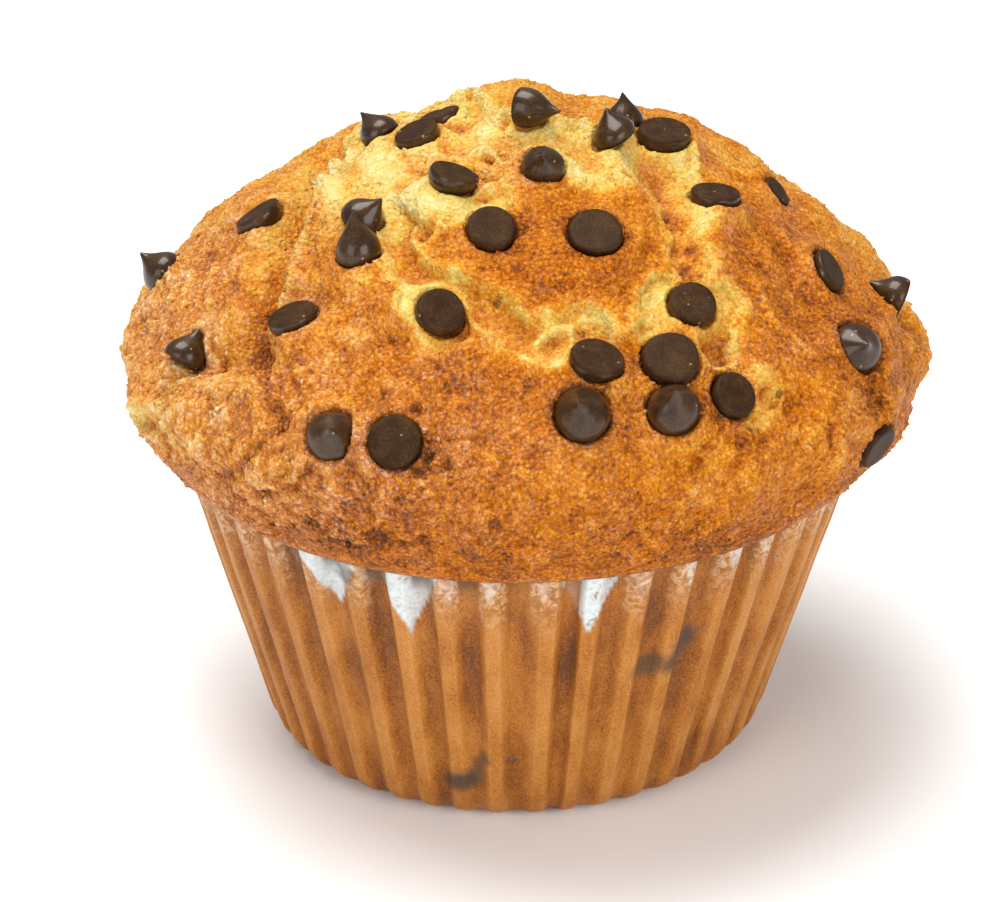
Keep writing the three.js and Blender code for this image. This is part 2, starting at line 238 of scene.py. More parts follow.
# %% Reading the chips' places
def chip_place(node):
    """Middle of the flat base, direction of the tip, width and height of a CAD chip, in mm."""
    mesh = node.data
    mesh.calc_loop_triangles()
    flats = {}
    for triangle in mesh.loop_triangles:
        facing = tuple(round(c, 2) for c in triangle.normal)
        centre = sum((mesh.vertices[v].co for v in triangle.vertices), Vector()) / 3
        flats.setdefault(facing, []).append((triangle.area, centre, triangle.normal.copy()))
    base = max(flats.values(), key=lambda group: sum(area for area, _, _ in group))
    whole = sum(area for area, _, _ in base)
    middle = np.array(sum((area * centre for area, centre, _ in base), Vector()) / whole) / MM
    tip = -np.array(sum((area * normal for area, _, normal in base), Vector()) / whole)
    tip /= np.linalg.norm(tip)
    away = np.array([v.co for v in mesh.vertices]) / MM - middle
    along = away @ tip
    wide = 2 * np.linalg.norm(away - along[:, None] * tip, axis=1).max()
    return middle, tip, wide, along.max()


chip_names = sorted(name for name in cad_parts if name.startswith("chip_"))
chip_places = [chip_place(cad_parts[name]) for name in chip_names]
print("chips:", len(chip_names), "widest, mm:", round(max(place[2] for place in chip_places), 2))

# %% [markdown]
# ## The crust's relief
#
# As a muffin bakes, its skin sets first and the rising batter bursts through it. That leaves browned
# plates of crust with ragged edges and, a little lower, pale moist crumb between them. All of it is
# laid out on the map with two rules: soft round patches, and soft furrows along a run of points.

# %% Patches and furrows on the map
def blots(x, y, table):
    """Sum of soft round patches, each with its middle, its reach and its amount."""
    total = np.zeros(len(x))
    for middle_x, middle_y, reach_x, reach_y, amount in table:
        total += amount * np.exp(-(((x - middle_x) / reach_x) ** 2) - ((y - middle_y) / reach_y) ** 2)
    return total


def beside_run(run, x, y):
    """Distance of places on the map from a line of points, and which hand of it they are on."""
    nearest = np.full(len(x), 99.0)
    hand = np.ones(len(x))
    for (from_x, from_y), (to_x, to_y) in zip(run, run[1:]):
        along_x, along_y = to_x - from_x, to_y - from_y
        part = ((x - from_x) * along_x + (y - from_y) * along_y) / (along_x**2 + along_y**2)
        part = np.clip(part, 0, 1)
        off_x, off_y = x - from_x - part * along_x, y - from_y - part * along_y
        distance = np.hypot(off_x, off_y)
        hand = np.where(distance < nearest, np.sign(along_x * off_y - along_y * off_x), hand)
        nearest = np.minimum(nearest, distance)
    return nearest, hand


def furrows(x, y, table, wander=0):
    """Sum of soft furrows, each with its run of points, its reach and its depth."""
    total = np.zeros(len(x))
    for run, reach, depth in table:
        total += depth * np.exp(-(((beside_run(run, x, y)[0] + wander) / reach) ** 2))
    return total


# %% [markdown]
# The broad swellings and splits follow the CAD part. Steep ledges are added to them here, because a
# plate of crust breaks off sharply on one side of its split and only slopes down on the other.

# %% Broad swellings, splits and ledges
# middle x, middle y, reach in x, reach in y, rise
SWELLINGS = [
    (-55, 2, 9, 13, -1), (-58, -27, 9, 9, 0.9), (-40, 18, 12, 7, -0.5), (55, 4, 10, 9, -0.9),
    (58, -27, 9, 10, 0.8), (38, 17, 14, 9, -0.9), (-9, 17, 5, 6, -1.5), (-2, 15, 5, 6, 0.5),
    (-3, 5, 5, 6, 0.9), (24, 17, 6, 5, 1.1), (5, -25, 11, 6, 0.8), (-18, -28, 7, 6, 0.6),
    (-38, -14, 9, 12, 0.5), (-29, -43, 12, 8, 0.5), (40, -25, 12, 12, 0.4),
]
# run of points, reach, depth
SPLITS = [
    ([(-22.5, 3), (-25.5, -7), (-27, -15), (-30, -22), (-32, -28)], 3.0, 3.9),
    ([(-31, -29), (-36, -28), (-41, -24.5)], 2, 2),
    ([(-15, -17), (-13, -23), (-10, -27.5), (-4, -32.5), (2, -36), (6, -38)], 2.2, 1.0),
    ([(15, -8), (18, -15), (19, -21), (20, -26), (23, -34)], 2.4, 1.4),
    ([(-8, -6), (0, -8), (8, -9), (15, -8)], 3.5, 1.1), ([(-13, 3), (-9, 1)], 4.5, 2.2),
    ([(-18, 22), (-8, 30), (6, 33), (16, 27)], 2.8, 2), ([(20, 20), (27, 32), (26, 44)], 2.6, 1.8),
    ([(-24, 20), (-33, 28), (-36, 38)], 2.6, 1.6),
]
# run of points, rise, how far the plate slopes back from its edge
LEDGES = [
    ([(-22, 4), (-23.9, -4.4), (-24.5, -11.1), (-27.3, -15.3), (-27.4, -20.2), (-29.5, -24.8),
      (-32, -28)], 3.2, 2.0),
    ([(-11.5, -17.5), (-13.6, -20.5), (-12.3, -24.4), (-10.3, -26.7), (-7.7, -28.5),
      (-2.6, -30.8)], 0.8, 2.0),
    ([(4.5, -41), (0.5, -38.1), (-3.9, -35.6), (-7.7, -36.8)], 0.6, 2.2),
    ([(22.6, -13), (21.4, -20.3), (20.9, -26.7)], 0.5, 2.6),
    ([(17.4, -27.8), (17.4, -21.3), (15.2, -17.4), (13, -12)], 0.5, 2.0),
    ([(50.5, -41.4), (44.4, -39.4), (40.5, -36.5)], 0.5, 1.6),
    ([(-28, -33), (-27, -38), (-24, -42)], 0.6, 1.8), ([(-8, 27), (0, 31), (9, 30)], 0.7, 2.2),
    ([(30, 40), (24, 31), (18, 24)], 0.7, 2.2),
]
print("swellings:", len(SWELLINGS), "splits:", len(SPLITS), "ledges:", len(LEDGES))

# %% [markdown]
# These forms are summed to one height for each place on the map. The back is a little lower than the
# front, and six low waves that cross each other keep any part from being quite flat.

# %% Height of the broad forms
BACK_SINK = 0.8
WAVES = 6
WAVE_RISE = 0.2
WAVE_TURN = 137.5


def broad_relief(x, y, fray):
    """Height of the crust off the plain dome, without its roughness."""
    height = blots(x, y, SWELLINGS) - furrows(x, y, SPLITS) - BACK_SINK * smooth(-4, 10, y)
    for run, rise, back in LEDGES:
        nearest, hand = beside_run(run, x, y)
        height += rise * smooth(-0.2, 0.45, nearest * hand + fray) * np.exp(-((nearest / back) ** 2))
    for i in range(WAVES):
        heading = math.radians(WAVE_TURN * i)
        along = x * math.cos(heading) + y * math.sin(heading)
        height += WAVE_RISE * np.sin(2 * math.pi / (9 + 2.2 * i) * along + 1.7 * i * i)
    return height


# %% [markdown]
# The tears are runs on the map with a half width each. Noise frays their edges, and a few islands of
# skin stay inside them.

# %% Tears in the skin
# half width, run of points
TEARS = [
    (4.6, [(-17, 4), (-19, -3), (-18, -9), (-16, -14)]), (3.6, [(-12, -7), (-12, -13), (-12, -18)]),
    (3.4, [(-9, 6), (-7, 0), (-8, -6)]), (2.8, [(-11, -15.5), (-7, -18.5), (-4, -19)]),
    (3.0, [(-8, -6), (0, -7), (8, -7), (17, -6)]), (3.4, [(6, -11), (9, -11)]),
    (1.6, [(-14.5, -16), (-14.6, -21), (-13, -25), (-11, -28.2)]),
    (1.5, [(-11, -28.2), (-7, -29.6), (-4.5, -31)]), (2.6, [(-11.5, -31), (-9, -34)]),
    (2.1, [(-4, -32), (-1.5, -35.5), (3.5, -38)]), (2.2, [(3, -35), (8, -34.5)]),
    (3.4, [(16, -5), (17.5, -10)]), (2.6, [(17.5, -10), (19, -15)]),
    (1.9, [(19, -15), (19.6, -20), (20, -25)]), (1.9, [(16.5, -28), (15.5, -33)]),
    (1.9, [(23.5, -27), (22.5, -34)]), (1.5, [(28.5, -40), (30, -37)]), (1.2, [(-52, -24), (-49, -29)]),
    (2.2, [(-14, 24), (-6, 30), (6, 33)]), (2.4, [(22, 24), (27, 33)]), (1.8, [(-27, 23), (-33, 29)]),
]
ISLANDS = [
    (2.4, [(-4.5, -9.5), (-2.5, -13.5)]),
    (2.0, [(12, -11.5), (14, -12)]),
    (1.6, [(-9.5, -9.2), (-7, -10)]),
    (1.1, [(-22.5, 1), (-22, -1)]),
]
print("tears:", len(TEARS), "islands of skin:", len(ISLANDS))


def inside_tears(x, y, fray):
    """How far inside a tear each place on the map is, in mm, and less than 0 where there is skin."""
    inside = np.full(len(x), -9.0)
    for half, run in TEARS:
        inside = np.maximum(inside, half - beside_run(run, x, y)[0])
    for half, run in ISLANDS:
        inside = np.minimum(inside, beside_run(run, x, y)[0] - half)
    return inside + fray


# %% [markdown]
# The crust isn't rough everywhere alike. Where it set early it is a smooth, glossy plate, and where
# batter kept breaking through it is a mass of crumbs. Small pits and cracks are where bubbles broke
# through the skin or where dough tore as it spread, and flakes are thin folds where skin has lifted.

# %% Roughness, pits, cracks and flakes
# middle x, middle y, reach in x, reach in y, how much rougher
ROUGHER = [
    (-42, -10, 14, 16, 0.45), (-38, -36, 14, 12, 0.45), (-18, -47, 16, 9, 0.30), (-22, -6, 6, 10, 0.15),
    (4, -24, 11, 7, -0.5), (34, -18, 13, 12, -0.22), (-6, -43, 9, 6, -0.3), (0, -57, 60, 5, 0.10),
    (-20, 40, 20, 14, 0.25), (20, 14, 14, 10, -0.20),
]
# middle x, middle y, reach, depth
PITS = [
    (-35.7, -51.5, 0.7, 0.6), (-32, -53, 1.0, 0.7), (-28, -57, 1.0, 0.7), (-21.5, -57.4, 1.3, 0.9),
    (-15, -59, 0.8, 0.6), (-4, -57, 0.8, 0.5), (22, -57, 0.7, 0.5), (15, -58.5, 0.7, 0.5),
    (24.5, -63, 0.8, 0.8), (-3.5, -9.2, 0.8, 0.9), (-31.5, -30, 1.4, 1.6), (-13, -43.4, 0.8, 0.9),
    (-12, -48.6, 0.8, 1.0), (46.3, -28.8, 0.9, 0.9), (21.8, -47.8, 0.8, 0.6), (-50, -30, 1.5, 1.1),
    (-47, -17, 1.0, 0.6),
]
# run of points, reach, depth or rise
CRACKS = [
    ([(-12.5, -47), (-9, -47.3), (-5, -47.8)], 0.45, 0.45),
    ([(-13.5, -50.2), (-9.5, -50.2)], 0.55, 0.9), ([(-37, -46), (-30, -47.5), (-27, -46.5)], 0.5, 0.5),
    ([(38.8, -36.4), (38.8, -38.6), (41, -39)], 0.4, 0.6),
    ([(-31, -31), (-31.5, -36), (-29.5, -40)], 0.8, 0.9), ([(-38, -5), (-39, -12)], 0.8, 0.7),
    ([(-35, -17), (-33, -21), (-30, -25)], 0.9, 0.6), ([(-44, -40), (-38, -42), (-33, -41)], 0.7, 0.5),
    ([(-33, -55), (-22, -58.8), (-12, -60.5)], 0.6, 0.5), ([(26, -3), (30, -1), (34, 2)], 1.0, 0.7),
    ([(33, -36), (31, -41), (27, -44)], 0.9, 0.7), ([(20, -49.5), (26, -47), (30, -43)], 0.8, 0.45),
    ([(41, -18), (44, -25), (45, -31)], 0.8, 0.5),
]
FLAKES = [
    ([(0.8, -18.6), (1.5, -20.7), (1.3, -22.5), (0.3, -24), (-1.1, -23.4)], 0.45, 0.7),
    ([(12.4, -18.5), (13.7, -19.3), (13.8, -21.7), (12.8, -23.7)], 0.45, 0.6),
    ([(1.7, -36), (3.3, -34.8), (5.6, -34.3), (5.8, -35.8)], 0.6, 0.8),
    ([(-4.9, -17), (-1.7, -14.6), (0.8, -16.5), (2.6, -17.8), (5, -16.7), (7, -14.8)], 0.4, 0.5),
    ([(10.6, -16.4), (13.8, -14.9), (16.4, -15.5)], 0.4, 0.5),
    ([(31, -12), (34, -16), (33, -21)], 0.5, 0.4), ([(27, -22), (30, -27), (35, -29)], 0.5, 0.4),
    ([(-6, -20), (-2, -26), (4, -29.5)], 0.6, 0.35),
    ([(-21.3, 3.5), (-23.1, -4.6), (-23.8, -11), (-26.5, -15.2), (-26.6, -20), (-28.8, -24.6)], 0.5, 0.6),
]
print("pits:", len(PITS), "cracks:", len(CRACKS), "flakes:", len(FLAKES))

# %% [markdown]
# Crumbly crust is made of lumps that swell out and meet in sharp creases. The absolute value of
# smooth noise has just that shape, and it is added at three sizes from 3.4 mm down to 0.85 mm. The
# edge of a tear stands up a little, because the skin curls as it dries.

# %% Crumbs, creases and the edges of plates
CRUMB_SIZES = [(3.4, 0.50), (1.7, 0.42), (0.85, 0.40)]
CREASE_MEAN = 0.3
SKIN_ROUGHNESS = 1.35
CRUMB_ROUGHNESS = 0.85
CRUMB_SINK = 0.7
LIP_RISE = 0.6


def crumbly(places, seed):
    """Rounded lumps with sharp creases between them, about 0 on average."""
    total = 0
    for step, (size, rise) in enumerate(CRUMB_SIZES):
        total = total + rise * (np.abs(lumps(places, size, seed + step)) - CREASE_MEAN)
    return total


def fine_relief(x, y, places, inside, rough):
    """Skin, crumb, pits and cracks, on top of the broad relief."""
    torn = smooth(-0.2, 0.35, inside)
    skin = rough * SKIN_ROUGHNESS * crumbly(places, 21) + 0.20 * lumps(places, 6.0, 28)
    crumb = CRUMB_ROUGHNESS * crumbly(places, 31) + 0.35 * lumps(places, 4.0, 25)
    lip = np.exp(-(((inside + 0.7) / 0.55) ** 2)) * np.clip(0.6 + 0.7 * lumps(places, 2.4, 29), 0, 1.3)
    height = (1 - torn) * skin + torn * (crumb - CRUMB_SINK) + LIP_RISE * lip
    for pit_x, pit_y, reach, depth in PITS:
        height -= depth * np.exp(-((np.hypot(x - pit_x, y - pit_y) / reach) ** 4))
    wander = 0.5 * lumps(places, 2.2, 27)
    return height - furrows(x, y, CRACKS, wander) + furrows(x, y, FLAKES, 0.5 * wander)


# %% [markdown]
# ## Building the muffin's mesh
#
# A fan of rings would crowd its points at the crown and starve the rim. So a square grid is bent
# into a disc instead: each square ring of the grid becomes a round one, and the cells stay nearly
# the same size, about 0.3 mm. The disc is laid over the dome and lifted by the relief.

# %% The crust's grid
GRID_RINGS = 208
BROAD_FADE = 6
FINE_FADE = 2.5


def disc_grid(rings):
    """A square grid bent into a disc of radius 1, with its faces and the round of its edge."""
    span = np.arange(-rings, rings + 1)
    column, row = (axis.ravel().astype(float) for axis in np.meshgrid(span, span, indexing="ij"))
    wide = np.abs(column) >= np.abs(row)
    reach = np.where(wide, column, row)
    ratio = np.where(wide, row, column) / np.where(reach == 0, 1, reach)
    turn = np.where(wide, math.pi / 4 * ratio, math.pi / 2 - math.pi / 4 * ratio)
    flat = np.stack([reach * np.cos(turn), reach * np.sin(turn)], axis=1) / rings
    number = np.arange((2 * rings + 1) ** 2).reshape(2 * rings + 1, 2 * rings + 1)
    corners = [number[:-1, :-1], number[1:, :-1], number[1:, 1:], number[:-1, 1:]]
    faces = np.stack([corner.ravel() for corner in corners], axis=1)
    edge = np.concatenate([number[:-1, 0], number[-1, :-1], number[:0:-1, -1], number[0, :0:-1]])
    return flat, faces, edge


flat, crust_faces, edge = disc_grid(GRID_RINGS)
map_x, map_y = (LIP_DISTANCE * flat[:, axis] for axis in (0, 1))
plain, outward = dome(map_x, map_y)
to_lip = LIP_DISTANCE - np.hypot(map_x, map_y)
fray = 0.9 * lumps(plain, 3.1, 11) + 0.5 * lumps(plain, 1.3, 12)
inside = inside_tears(map_x, map_y, fray)
to_cliff, cliff_hand = beside_run(LEDGES[0][0], map_x, map_y)
in_hollow = np.exp(-((beside_run(SPLITS[0][0], map_x, map_y)[0] / 3.2) ** 2))
in_hollow *= 1 - smooth(-0.4, 0.2, to_cliff * cliff_hand + 0.4 * lumps(plain, 1.6, 14))
rough = 0.62 + blots(map_x, map_y, ROUGHER) + 0.12 * lumps(plain, 7, 13) - 0.6 * in_hollow
rough = np.clip(rough, 0.15, 1.1)
broad = broad_relief(map_x, map_y, 0.8 * fray) * smooth(0, BROAD_FADE, to_lip)
print("crust points:", len(plain), "broad relief, mm:", round(broad.min(), 1), "to", round(broad.max(), 1))

# %% [markdown]
# Each chip lies in a bed: round it the crust takes the tilt of its flat base, as in the CAD part. A
# chip that shows its base stands a little proud of the bed, and one that shows its tip is sunk.

# %% Beds under the chips
BED_SHARE = 0.75
BED_COVER = 0.4
BED_SLOPE = 2.6
BED_LIMIT = 1.6
BED_LEAN = 0.45
BACK_CHIPS_FROM = 32
BACK_PROUD = 0.6
BED_REACH = 9


def off_dome(place):
    """How far a place in mm stands off the plain dome."""
    angle = math.atan2(place[1], place[0] - DOME_SHIFT)
    reach = math.hypot(place[1], place[0] - DOME_SHIFT)
    distance = distances[np.argmin(np.hypot(radii - reach, heights - place[2]))]
    foot, out = dome(np.array([distance * math.cos(angle)]), np.array([distance * math.sin(angle)]))
    return float((place - foot[0]) @ out[0])


bedded = broad.copy()
fade = smooth(0, BROAD_FADE, to_lip)
for number, (middle, tip, wide, _) in enumerate(chip_places):
    showing = BACK_PROUD if number >= BACK_CHIPS_FROM else BED_SHARE * off_dome(middle)
    near = np.flatnonzero(np.linalg.norm(plain - middle, axis=1) < BED_REACH)
    away = plain[near] - middle
    above = away @ tip
    across = np.sqrt(np.maximum(np.sum(away**2, axis=1) - above**2, 0))
    facing = outward[near] @ tip
    base_out = facing < 0
    share = fade[near] * (1 - smooth(wide / 2, wide / 2 + BED_SLOPE, across))
    share[(np.abs(facing) < BED_LEAN) | (np.abs(above) > wide)] = 0
    share *= 1 - 0.9 * in_hollow[near] * smooth(wide / 2 + 0.3, wide / 2 + 1.5, across)
    bed = np.where(base_out, above - showing, BED_COVER - above) / np.maximum(np.abs(facing), BED_LEAN)
    lowest = np.where(base_out, broad[near] - BED_LIMIT, broad[near])
    held = np.clip(bed, lowest, broad[near] + BED_LIMIT)
    bedded[near] += share * (held - bedded[near])
print("beds move the crust by up to, mm:", round(np.abs(bedded - broad).max(), 2))

# %% [markdown]
# Dough clings to the chips. Round each one the crust rises in an uneven collar, and right at its
# side it falls away, which leaves the thin dark line that makes a chip look set in. The roughness
# is damped near a chip, so that no crumb grows through it.


# %% Collars round the chips
def outside_chip(points, place):
    """How far points lie outside the side of a chip, seen along its axis."""
    middle, tip, wide, tall = place
    away = points - middle
    along = away @ tip
    across = np.linalg.norm(away - along[:, None] * tip, axis=1)
    level = np.clip(along / tall, 0, 1)
    side = wide / 2 * np.interp(level, [0, 0.2, 0.66, 1], [0.93, 1, 0.5, 0])
    beyond = np.maximum(np.maximum(along - tall, -along), 0)
    return np.hypot(np.maximum(across - side, 0), beyond) - np.maximum(side - across, 0) * (beyond == 0)


def near_chips(points):
    """How far points are outside the nearest chip, up to 9 mm."""
    nearest = np.full(len(points), 9.0)
    for place in chip_places:
        close = np.linalg.norm(points - place[0], axis=1) < 7
        nearest[close] = np.minimum(nearest[close], outside_chip(points[close], place))
    return nearest


surface = plain + bedded[:, None] * outward
near_chip = near_chips(surface)
quiet = 0.45 + 0.55 * smooth(0.1, 1.5, near_chip)
fine = fine_relief(map_x, map_y, plain, inside, rough) * quiet
collar = 0.12 + 0.35 * np.abs(lumps(plain, 1.4, 51))
groove = 0.65 - 0.65 * smooth(-0.1, 0.4, near_chip)
fine += collar * np.exp(-(((near_chip - 0.7) / 0.45) ** 2)) - groove
fine *= smooth(0, FINE_FADE, to_lip)
surface += fine[:, None] * outward
lift = bedded + fine
print("points beside a chip:", int((near_chip < 1.5).sum()), "fine relief, mm:", round(fine.std(), 2))

# %% [markdown]
# ## Baking tones
#
# The oven's heat colours the skin by how far it sticks out and how long it has been set. That is
# painted on the points as one number, the bake: 0 is the pale moist crumb of the last tears, 0.5 is
# golden skin and 1 is scorched. The same number also carries painted shade, in creases, beside the
# chips, in the left hollow and under the lip. The material turns it into colour. Here are the broad
# tones, patch by patch on the map.

# %% Tones of skin and crumb
# middle x, middle y, reach in x, reach in y, how much more baked
SKIN_TONES = [
    (6, -29, 9, 5, 0.14), (6, -22, 11, 7, 0.10), (-3, -38, 16, 12, 0.07), (-5, -42, 9, 6, 0.10),
    (-17, -49, 10, 6, 0.06), (0, -55, 60, 7, 0.10), (-26, -4, 4, 8, 0.02), (-47, -28, 8, 10, -0.12),
    (-36, -38, 8, 7, -0.06), (-40, -8, 10, 12, -0.06), (32, -20, 13, 14, 0.14), (45, -20, 9, 12, 0.10),
    (27, -41, 7, 4, 0.16), (22, -49, 6, 3, -0.05), (-3, 6, 4, 10, -0.14), (22, 2, 5, 8, -0.06),
    (43, -39, 3, 1.2, -0.2), (-29, -13, 3, 10, -0.10), (30, 35, 16, 16, 0.08), (-30, 35, 16, 16, 0.04),
]
CRUMB_TONES = [
    (17, -14, 4, 7, 0.06), (20, -24, 4, 6, 0.12), (6, -37, 4, 3, 0.06), (-14, -24, 3, 4, 0.04),
    (23, -30, 4, 6, 0.12), (29, -38, 4, 4, 0.22), (-12, -26, 5, 6, 0.18), (-3, -33, 7, 4, 0.12),
    (18, -12, 4, 6, 0.10), (-50, -27, 5, 5, 0.12), (0, 30, 30, 12, 0.16),
]
SKIN_BAKE = 0.54
CRUMB_BAKE = 0.05
HOLLOW_RUN = [-28, -26.5, -22, -17, -8, 3]
HOLLOW_BAKE_AND_SHADE = [0.62, 0.76, 0.64, 0.54, 0.43, 0.28]

rim = np.hypot(map_x, map_y)
uneven = 0.07 * lumps(plain, 9.0, 41) + 0.10 * lumps(plain, 3.5, 42)
skin_bake_and_shade = SKIN_BAKE + uneven * (1 - 0.45 * smooth(46, 58, rim)) + blots(map_x, map_y, SKIN_TONES)
# Darker towards the lip: partly the edge baked longer, partly painted shade under the overhang
skin_bake_and_shade += 0.17 * smooth(53, 66, rim)
skin_bake_and_shade += 0.08 * np.clip(broad, -1, 0.6)
crumb_bake = CRUMB_BAKE + 0.8 * uneven + blots(map_x, map_y, CRUMB_TONES)
crumb_bake += 0.24 * smooth(0.15, 0.65, lumps(plain, 2.3, 46))
# The left hollow gets tones of its own, deeper towards its lower end: partly a deeper bake, partly painted
# shade from the ledge beside it
hollow_bake_and_shade = np.interp(map_y, HOLLOW_RUN, HOLLOW_BAKE_AND_SHADE)
skin_bake_and_shade += smooth(0.2, 0.7, in_hollow + 0.15 * lumps(plain, 2.2, 15)) * (hollow_bake_and_shade - skin_bake_and_shade)
skin_bake_and_shade -= 0.15 * smooth(-2.4, -0.2, inside)
print("skin bake:", round(skin_bake_and_shade.mean(), 2), "crumb bake:", round(crumb_bake.mean(), 2))

# %% [markdown]
# Creases are painted darker than the bumps between them, as the shade that falls in them. So the
# crust's height is blurred, and what lies lower than its surroundings gets more bake: painted shade.
# Skin is painted darker beside a chip too, partly browner crumb and partly the chip's shade, and
# along the foot of the ledge in the left hollow, as the ledge's shadow.

# %% Bake and painted shade
HOLLOW_DEPTH = 0.9
BLUR_CELLS = 6
BLUR_PASSES = 3


def blurred(values, cells_wide):
    """Values on the grid, averaged over a square of cells again and again, nearly a round blur."""
    side = 2 * GRID_RINGS + 1
    table = values.reshape(side, side)
    kernel = np.ones(2 * cells_wide + 1) / (2 * cells_wide + 1)

    def averaged(row):
        return np.convolve(np.pad(row, cells_wide, "edge"), kernel, "valid")

    for _ in range(BLUR_PASSES):
        for axis in (0, 1):
            table = np.apply_along_axis(averaged, axis, table)
    return table.ravel()


hollow = blurred(lift, BLUR_CELLS) - lift
share = smooth(-0.6, 0.35, inside + 0.3 * lumps(plain, 0.9, 44))
bake_and_shade = skin_bake_and_shade + share * (crumb_bake - skin_bake_and_shade)
# Paler on bumps, darker in creases and where the crust lies low: painted shade
bake_and_shade -= 0.26 * np.clip(rough, 0.3, 1) * np.clip(fine, -0.5, 0.5)
bake_and_shade += (0.14 + 0.16 * share) * np.clip(hollow / HOLLOW_DEPTH, -0.4, 1.3) * (1 - 0.8 * in_hollow)
# A darker band along the foot of the ledge: painted shadow of the ledge
bake_and_shade += 0.07 * np.exp(-(((to_cliff + 0.3) / 0.7) ** 2)) * smooth(0.3, 0.8, in_hollow)
# Darker beside the chips: partly browner crumb, partly painted shade from the chips
bake_and_shade += (0.14 + 0.08 * share) * (1 - smooth(0.2, 1.8, near_chip))
print("bake:", round(bake_and_shade.min(), 2), "to", round(bake_and_shade.max(), 2))

# %% [markdown]
# Two more numbers are painted: how crumbly and dusty the crust is, most of all on bumps, which also
# sets where pale painted sheen and glints go, and where chocolate has smeared as the chips sank in.

# %% Dust and smears
# middle x, middle y, reach in x, reach in y, how much more dust and painted glint
DUST_AND_GLINTS = [
    (-42, -8, 16, 18, 0.68), (-38, -38, 16, 14, 0.66), (-52, -18, 9, 20, 0.6), (-14, -50, 20, 8, 0.25),
    (-18, 0, 10, 14, 0.25), (0, -8, 20, 6, 0.3), (6, -24, 11, 6, -0.2),
]
# middle x, middle y, reach in x, reach in y
SMEARS = [
    (-3, -31, 0.9, 0.8), (7, -34.6, 1.0, 0.5), (17, -27, 0.5, 0.7), (21, -24, 0.4, 0.8),
    (26, -35, 1.2, 0.6), (31.8, -36, 0.8, 0.8), (22.5, -37.5, 1.2, 1.0), (23, -42.5, 1.5, 1.0),
    (28, -42, 1.5, 0.9), (-3.6, -9.3, 0.7, 0.6), (31, -30.5, 0.7, 0.4), (9.5, -42, 1.0, 0.8),
    (12, -43, 0.8, 0.8), (31.5, -0.5, 1.5, 1.0), (44.3, -25.6, 1.7, 0.7), (46.2, -28.2, 1.3, 0.6),
    (42.0, -22.4, 0.6, 1.1), (36.8, -19.6, 1.6, 0.5), (24.5, -36.0, 1.5, 0.5),
]
BASE_DUST_AND_GLINTS = 0.10

dust_and_glints = np.clip(BASE_DUST_AND_GLINTS + blots(map_x, map_y, DUST_AND_GLINTS) + 0.2 * lumps(plain, 4.5, 45), 0.03, 1)
dust_and_glints += 0.25 * share
# Most on bumps, where the pale dust also stands for painted sheen and glints
dust_and_glints *= (0.25 + 0.75 * smooth(-0.15, 0.35, fine)) * (1 - 0.9 * in_hollow)
smear = np.zeros(len(surface))
blur = 0.5 * lumps(plain, 0.9, 43)
for middle_x, middle_y, reach_x, reach_y in SMEARS:
    distance = np.hypot((map_x - middle_x) / reach_x, (map_y - middle_y) / reach_y)
    smear = np.maximum(smear, 0.8 - 0.8 * smooth(0.1, 1.4, distance + blur))
print("dusty share of the crust:", round(dust_and_glints.mean(), 2), "smears:", len(SMEARS))

# %% [markdown]
# ## The baked finish
#
# Crust is sugar and protein browned by heat: a dry, rough skin of burst bubbles. Crumb is a foam of
# starch, with a refractive index near 1.45. Its grains are 0.3 to 0.6 mm across, and they are seen
# three times over: in the colour, in the bump and in the gloss. Pores 0.1 to 0.2 mm wide and the
# creases between the grains, which the bump sinks, are painted darker, as the shade that falls in
# them. Specks of dried batter and sugar, 0.2 mm in all and drawn twice that wide so that they show,
# are nearly white; they are also painted highlights, the glints of light on the crumbs, and the pale
# dust mixed in on the bumps is partly painted sheen. On top of the grains sugar has melted to a thin
# clear coat, which makes them glint.

# %% Sizes and colours of baked crust
GRAIN = 0.32
GRANULE = 0.55
MOTTLE = 1.9
PORES = 0.85
SPECKS = 0.42
BUMP_HEIGHT = 0.45
SOFTNESS = 0.12
BAKE_STOPS = [
    (0.0, "#F0DE98"), (0.15, "#EACD6C"), (0.30, "#E4B548"), (0.45, "#DE9426"),
    (0.60, "#CC760C"), (0.75, "#B05C04"), (0.90, "#8B4306"), (1.0, "#5F2E08"),
]
DRY_DUST_AND_SHEEN = "#EBBB90"
SUGAR_SPECK_AND_GLINT = "#FFDFC8"
COCOA_SMEAR = "#5E3014"
WARM_GLOSS = "#FFCC88"
print("bake colours:", len(BAKE_STOPS))

# %% [markdown]
# The colour is chosen by the bake, and the patterns shift it up and down by a share that grows with
# the bake, so that pale crumb stays even and brown crust is speckled. A little light goes through
# crumb, which softens its shadows. The loose crumbs get the same finish without that, because they
# are thinner than the way that light takes in crumb.

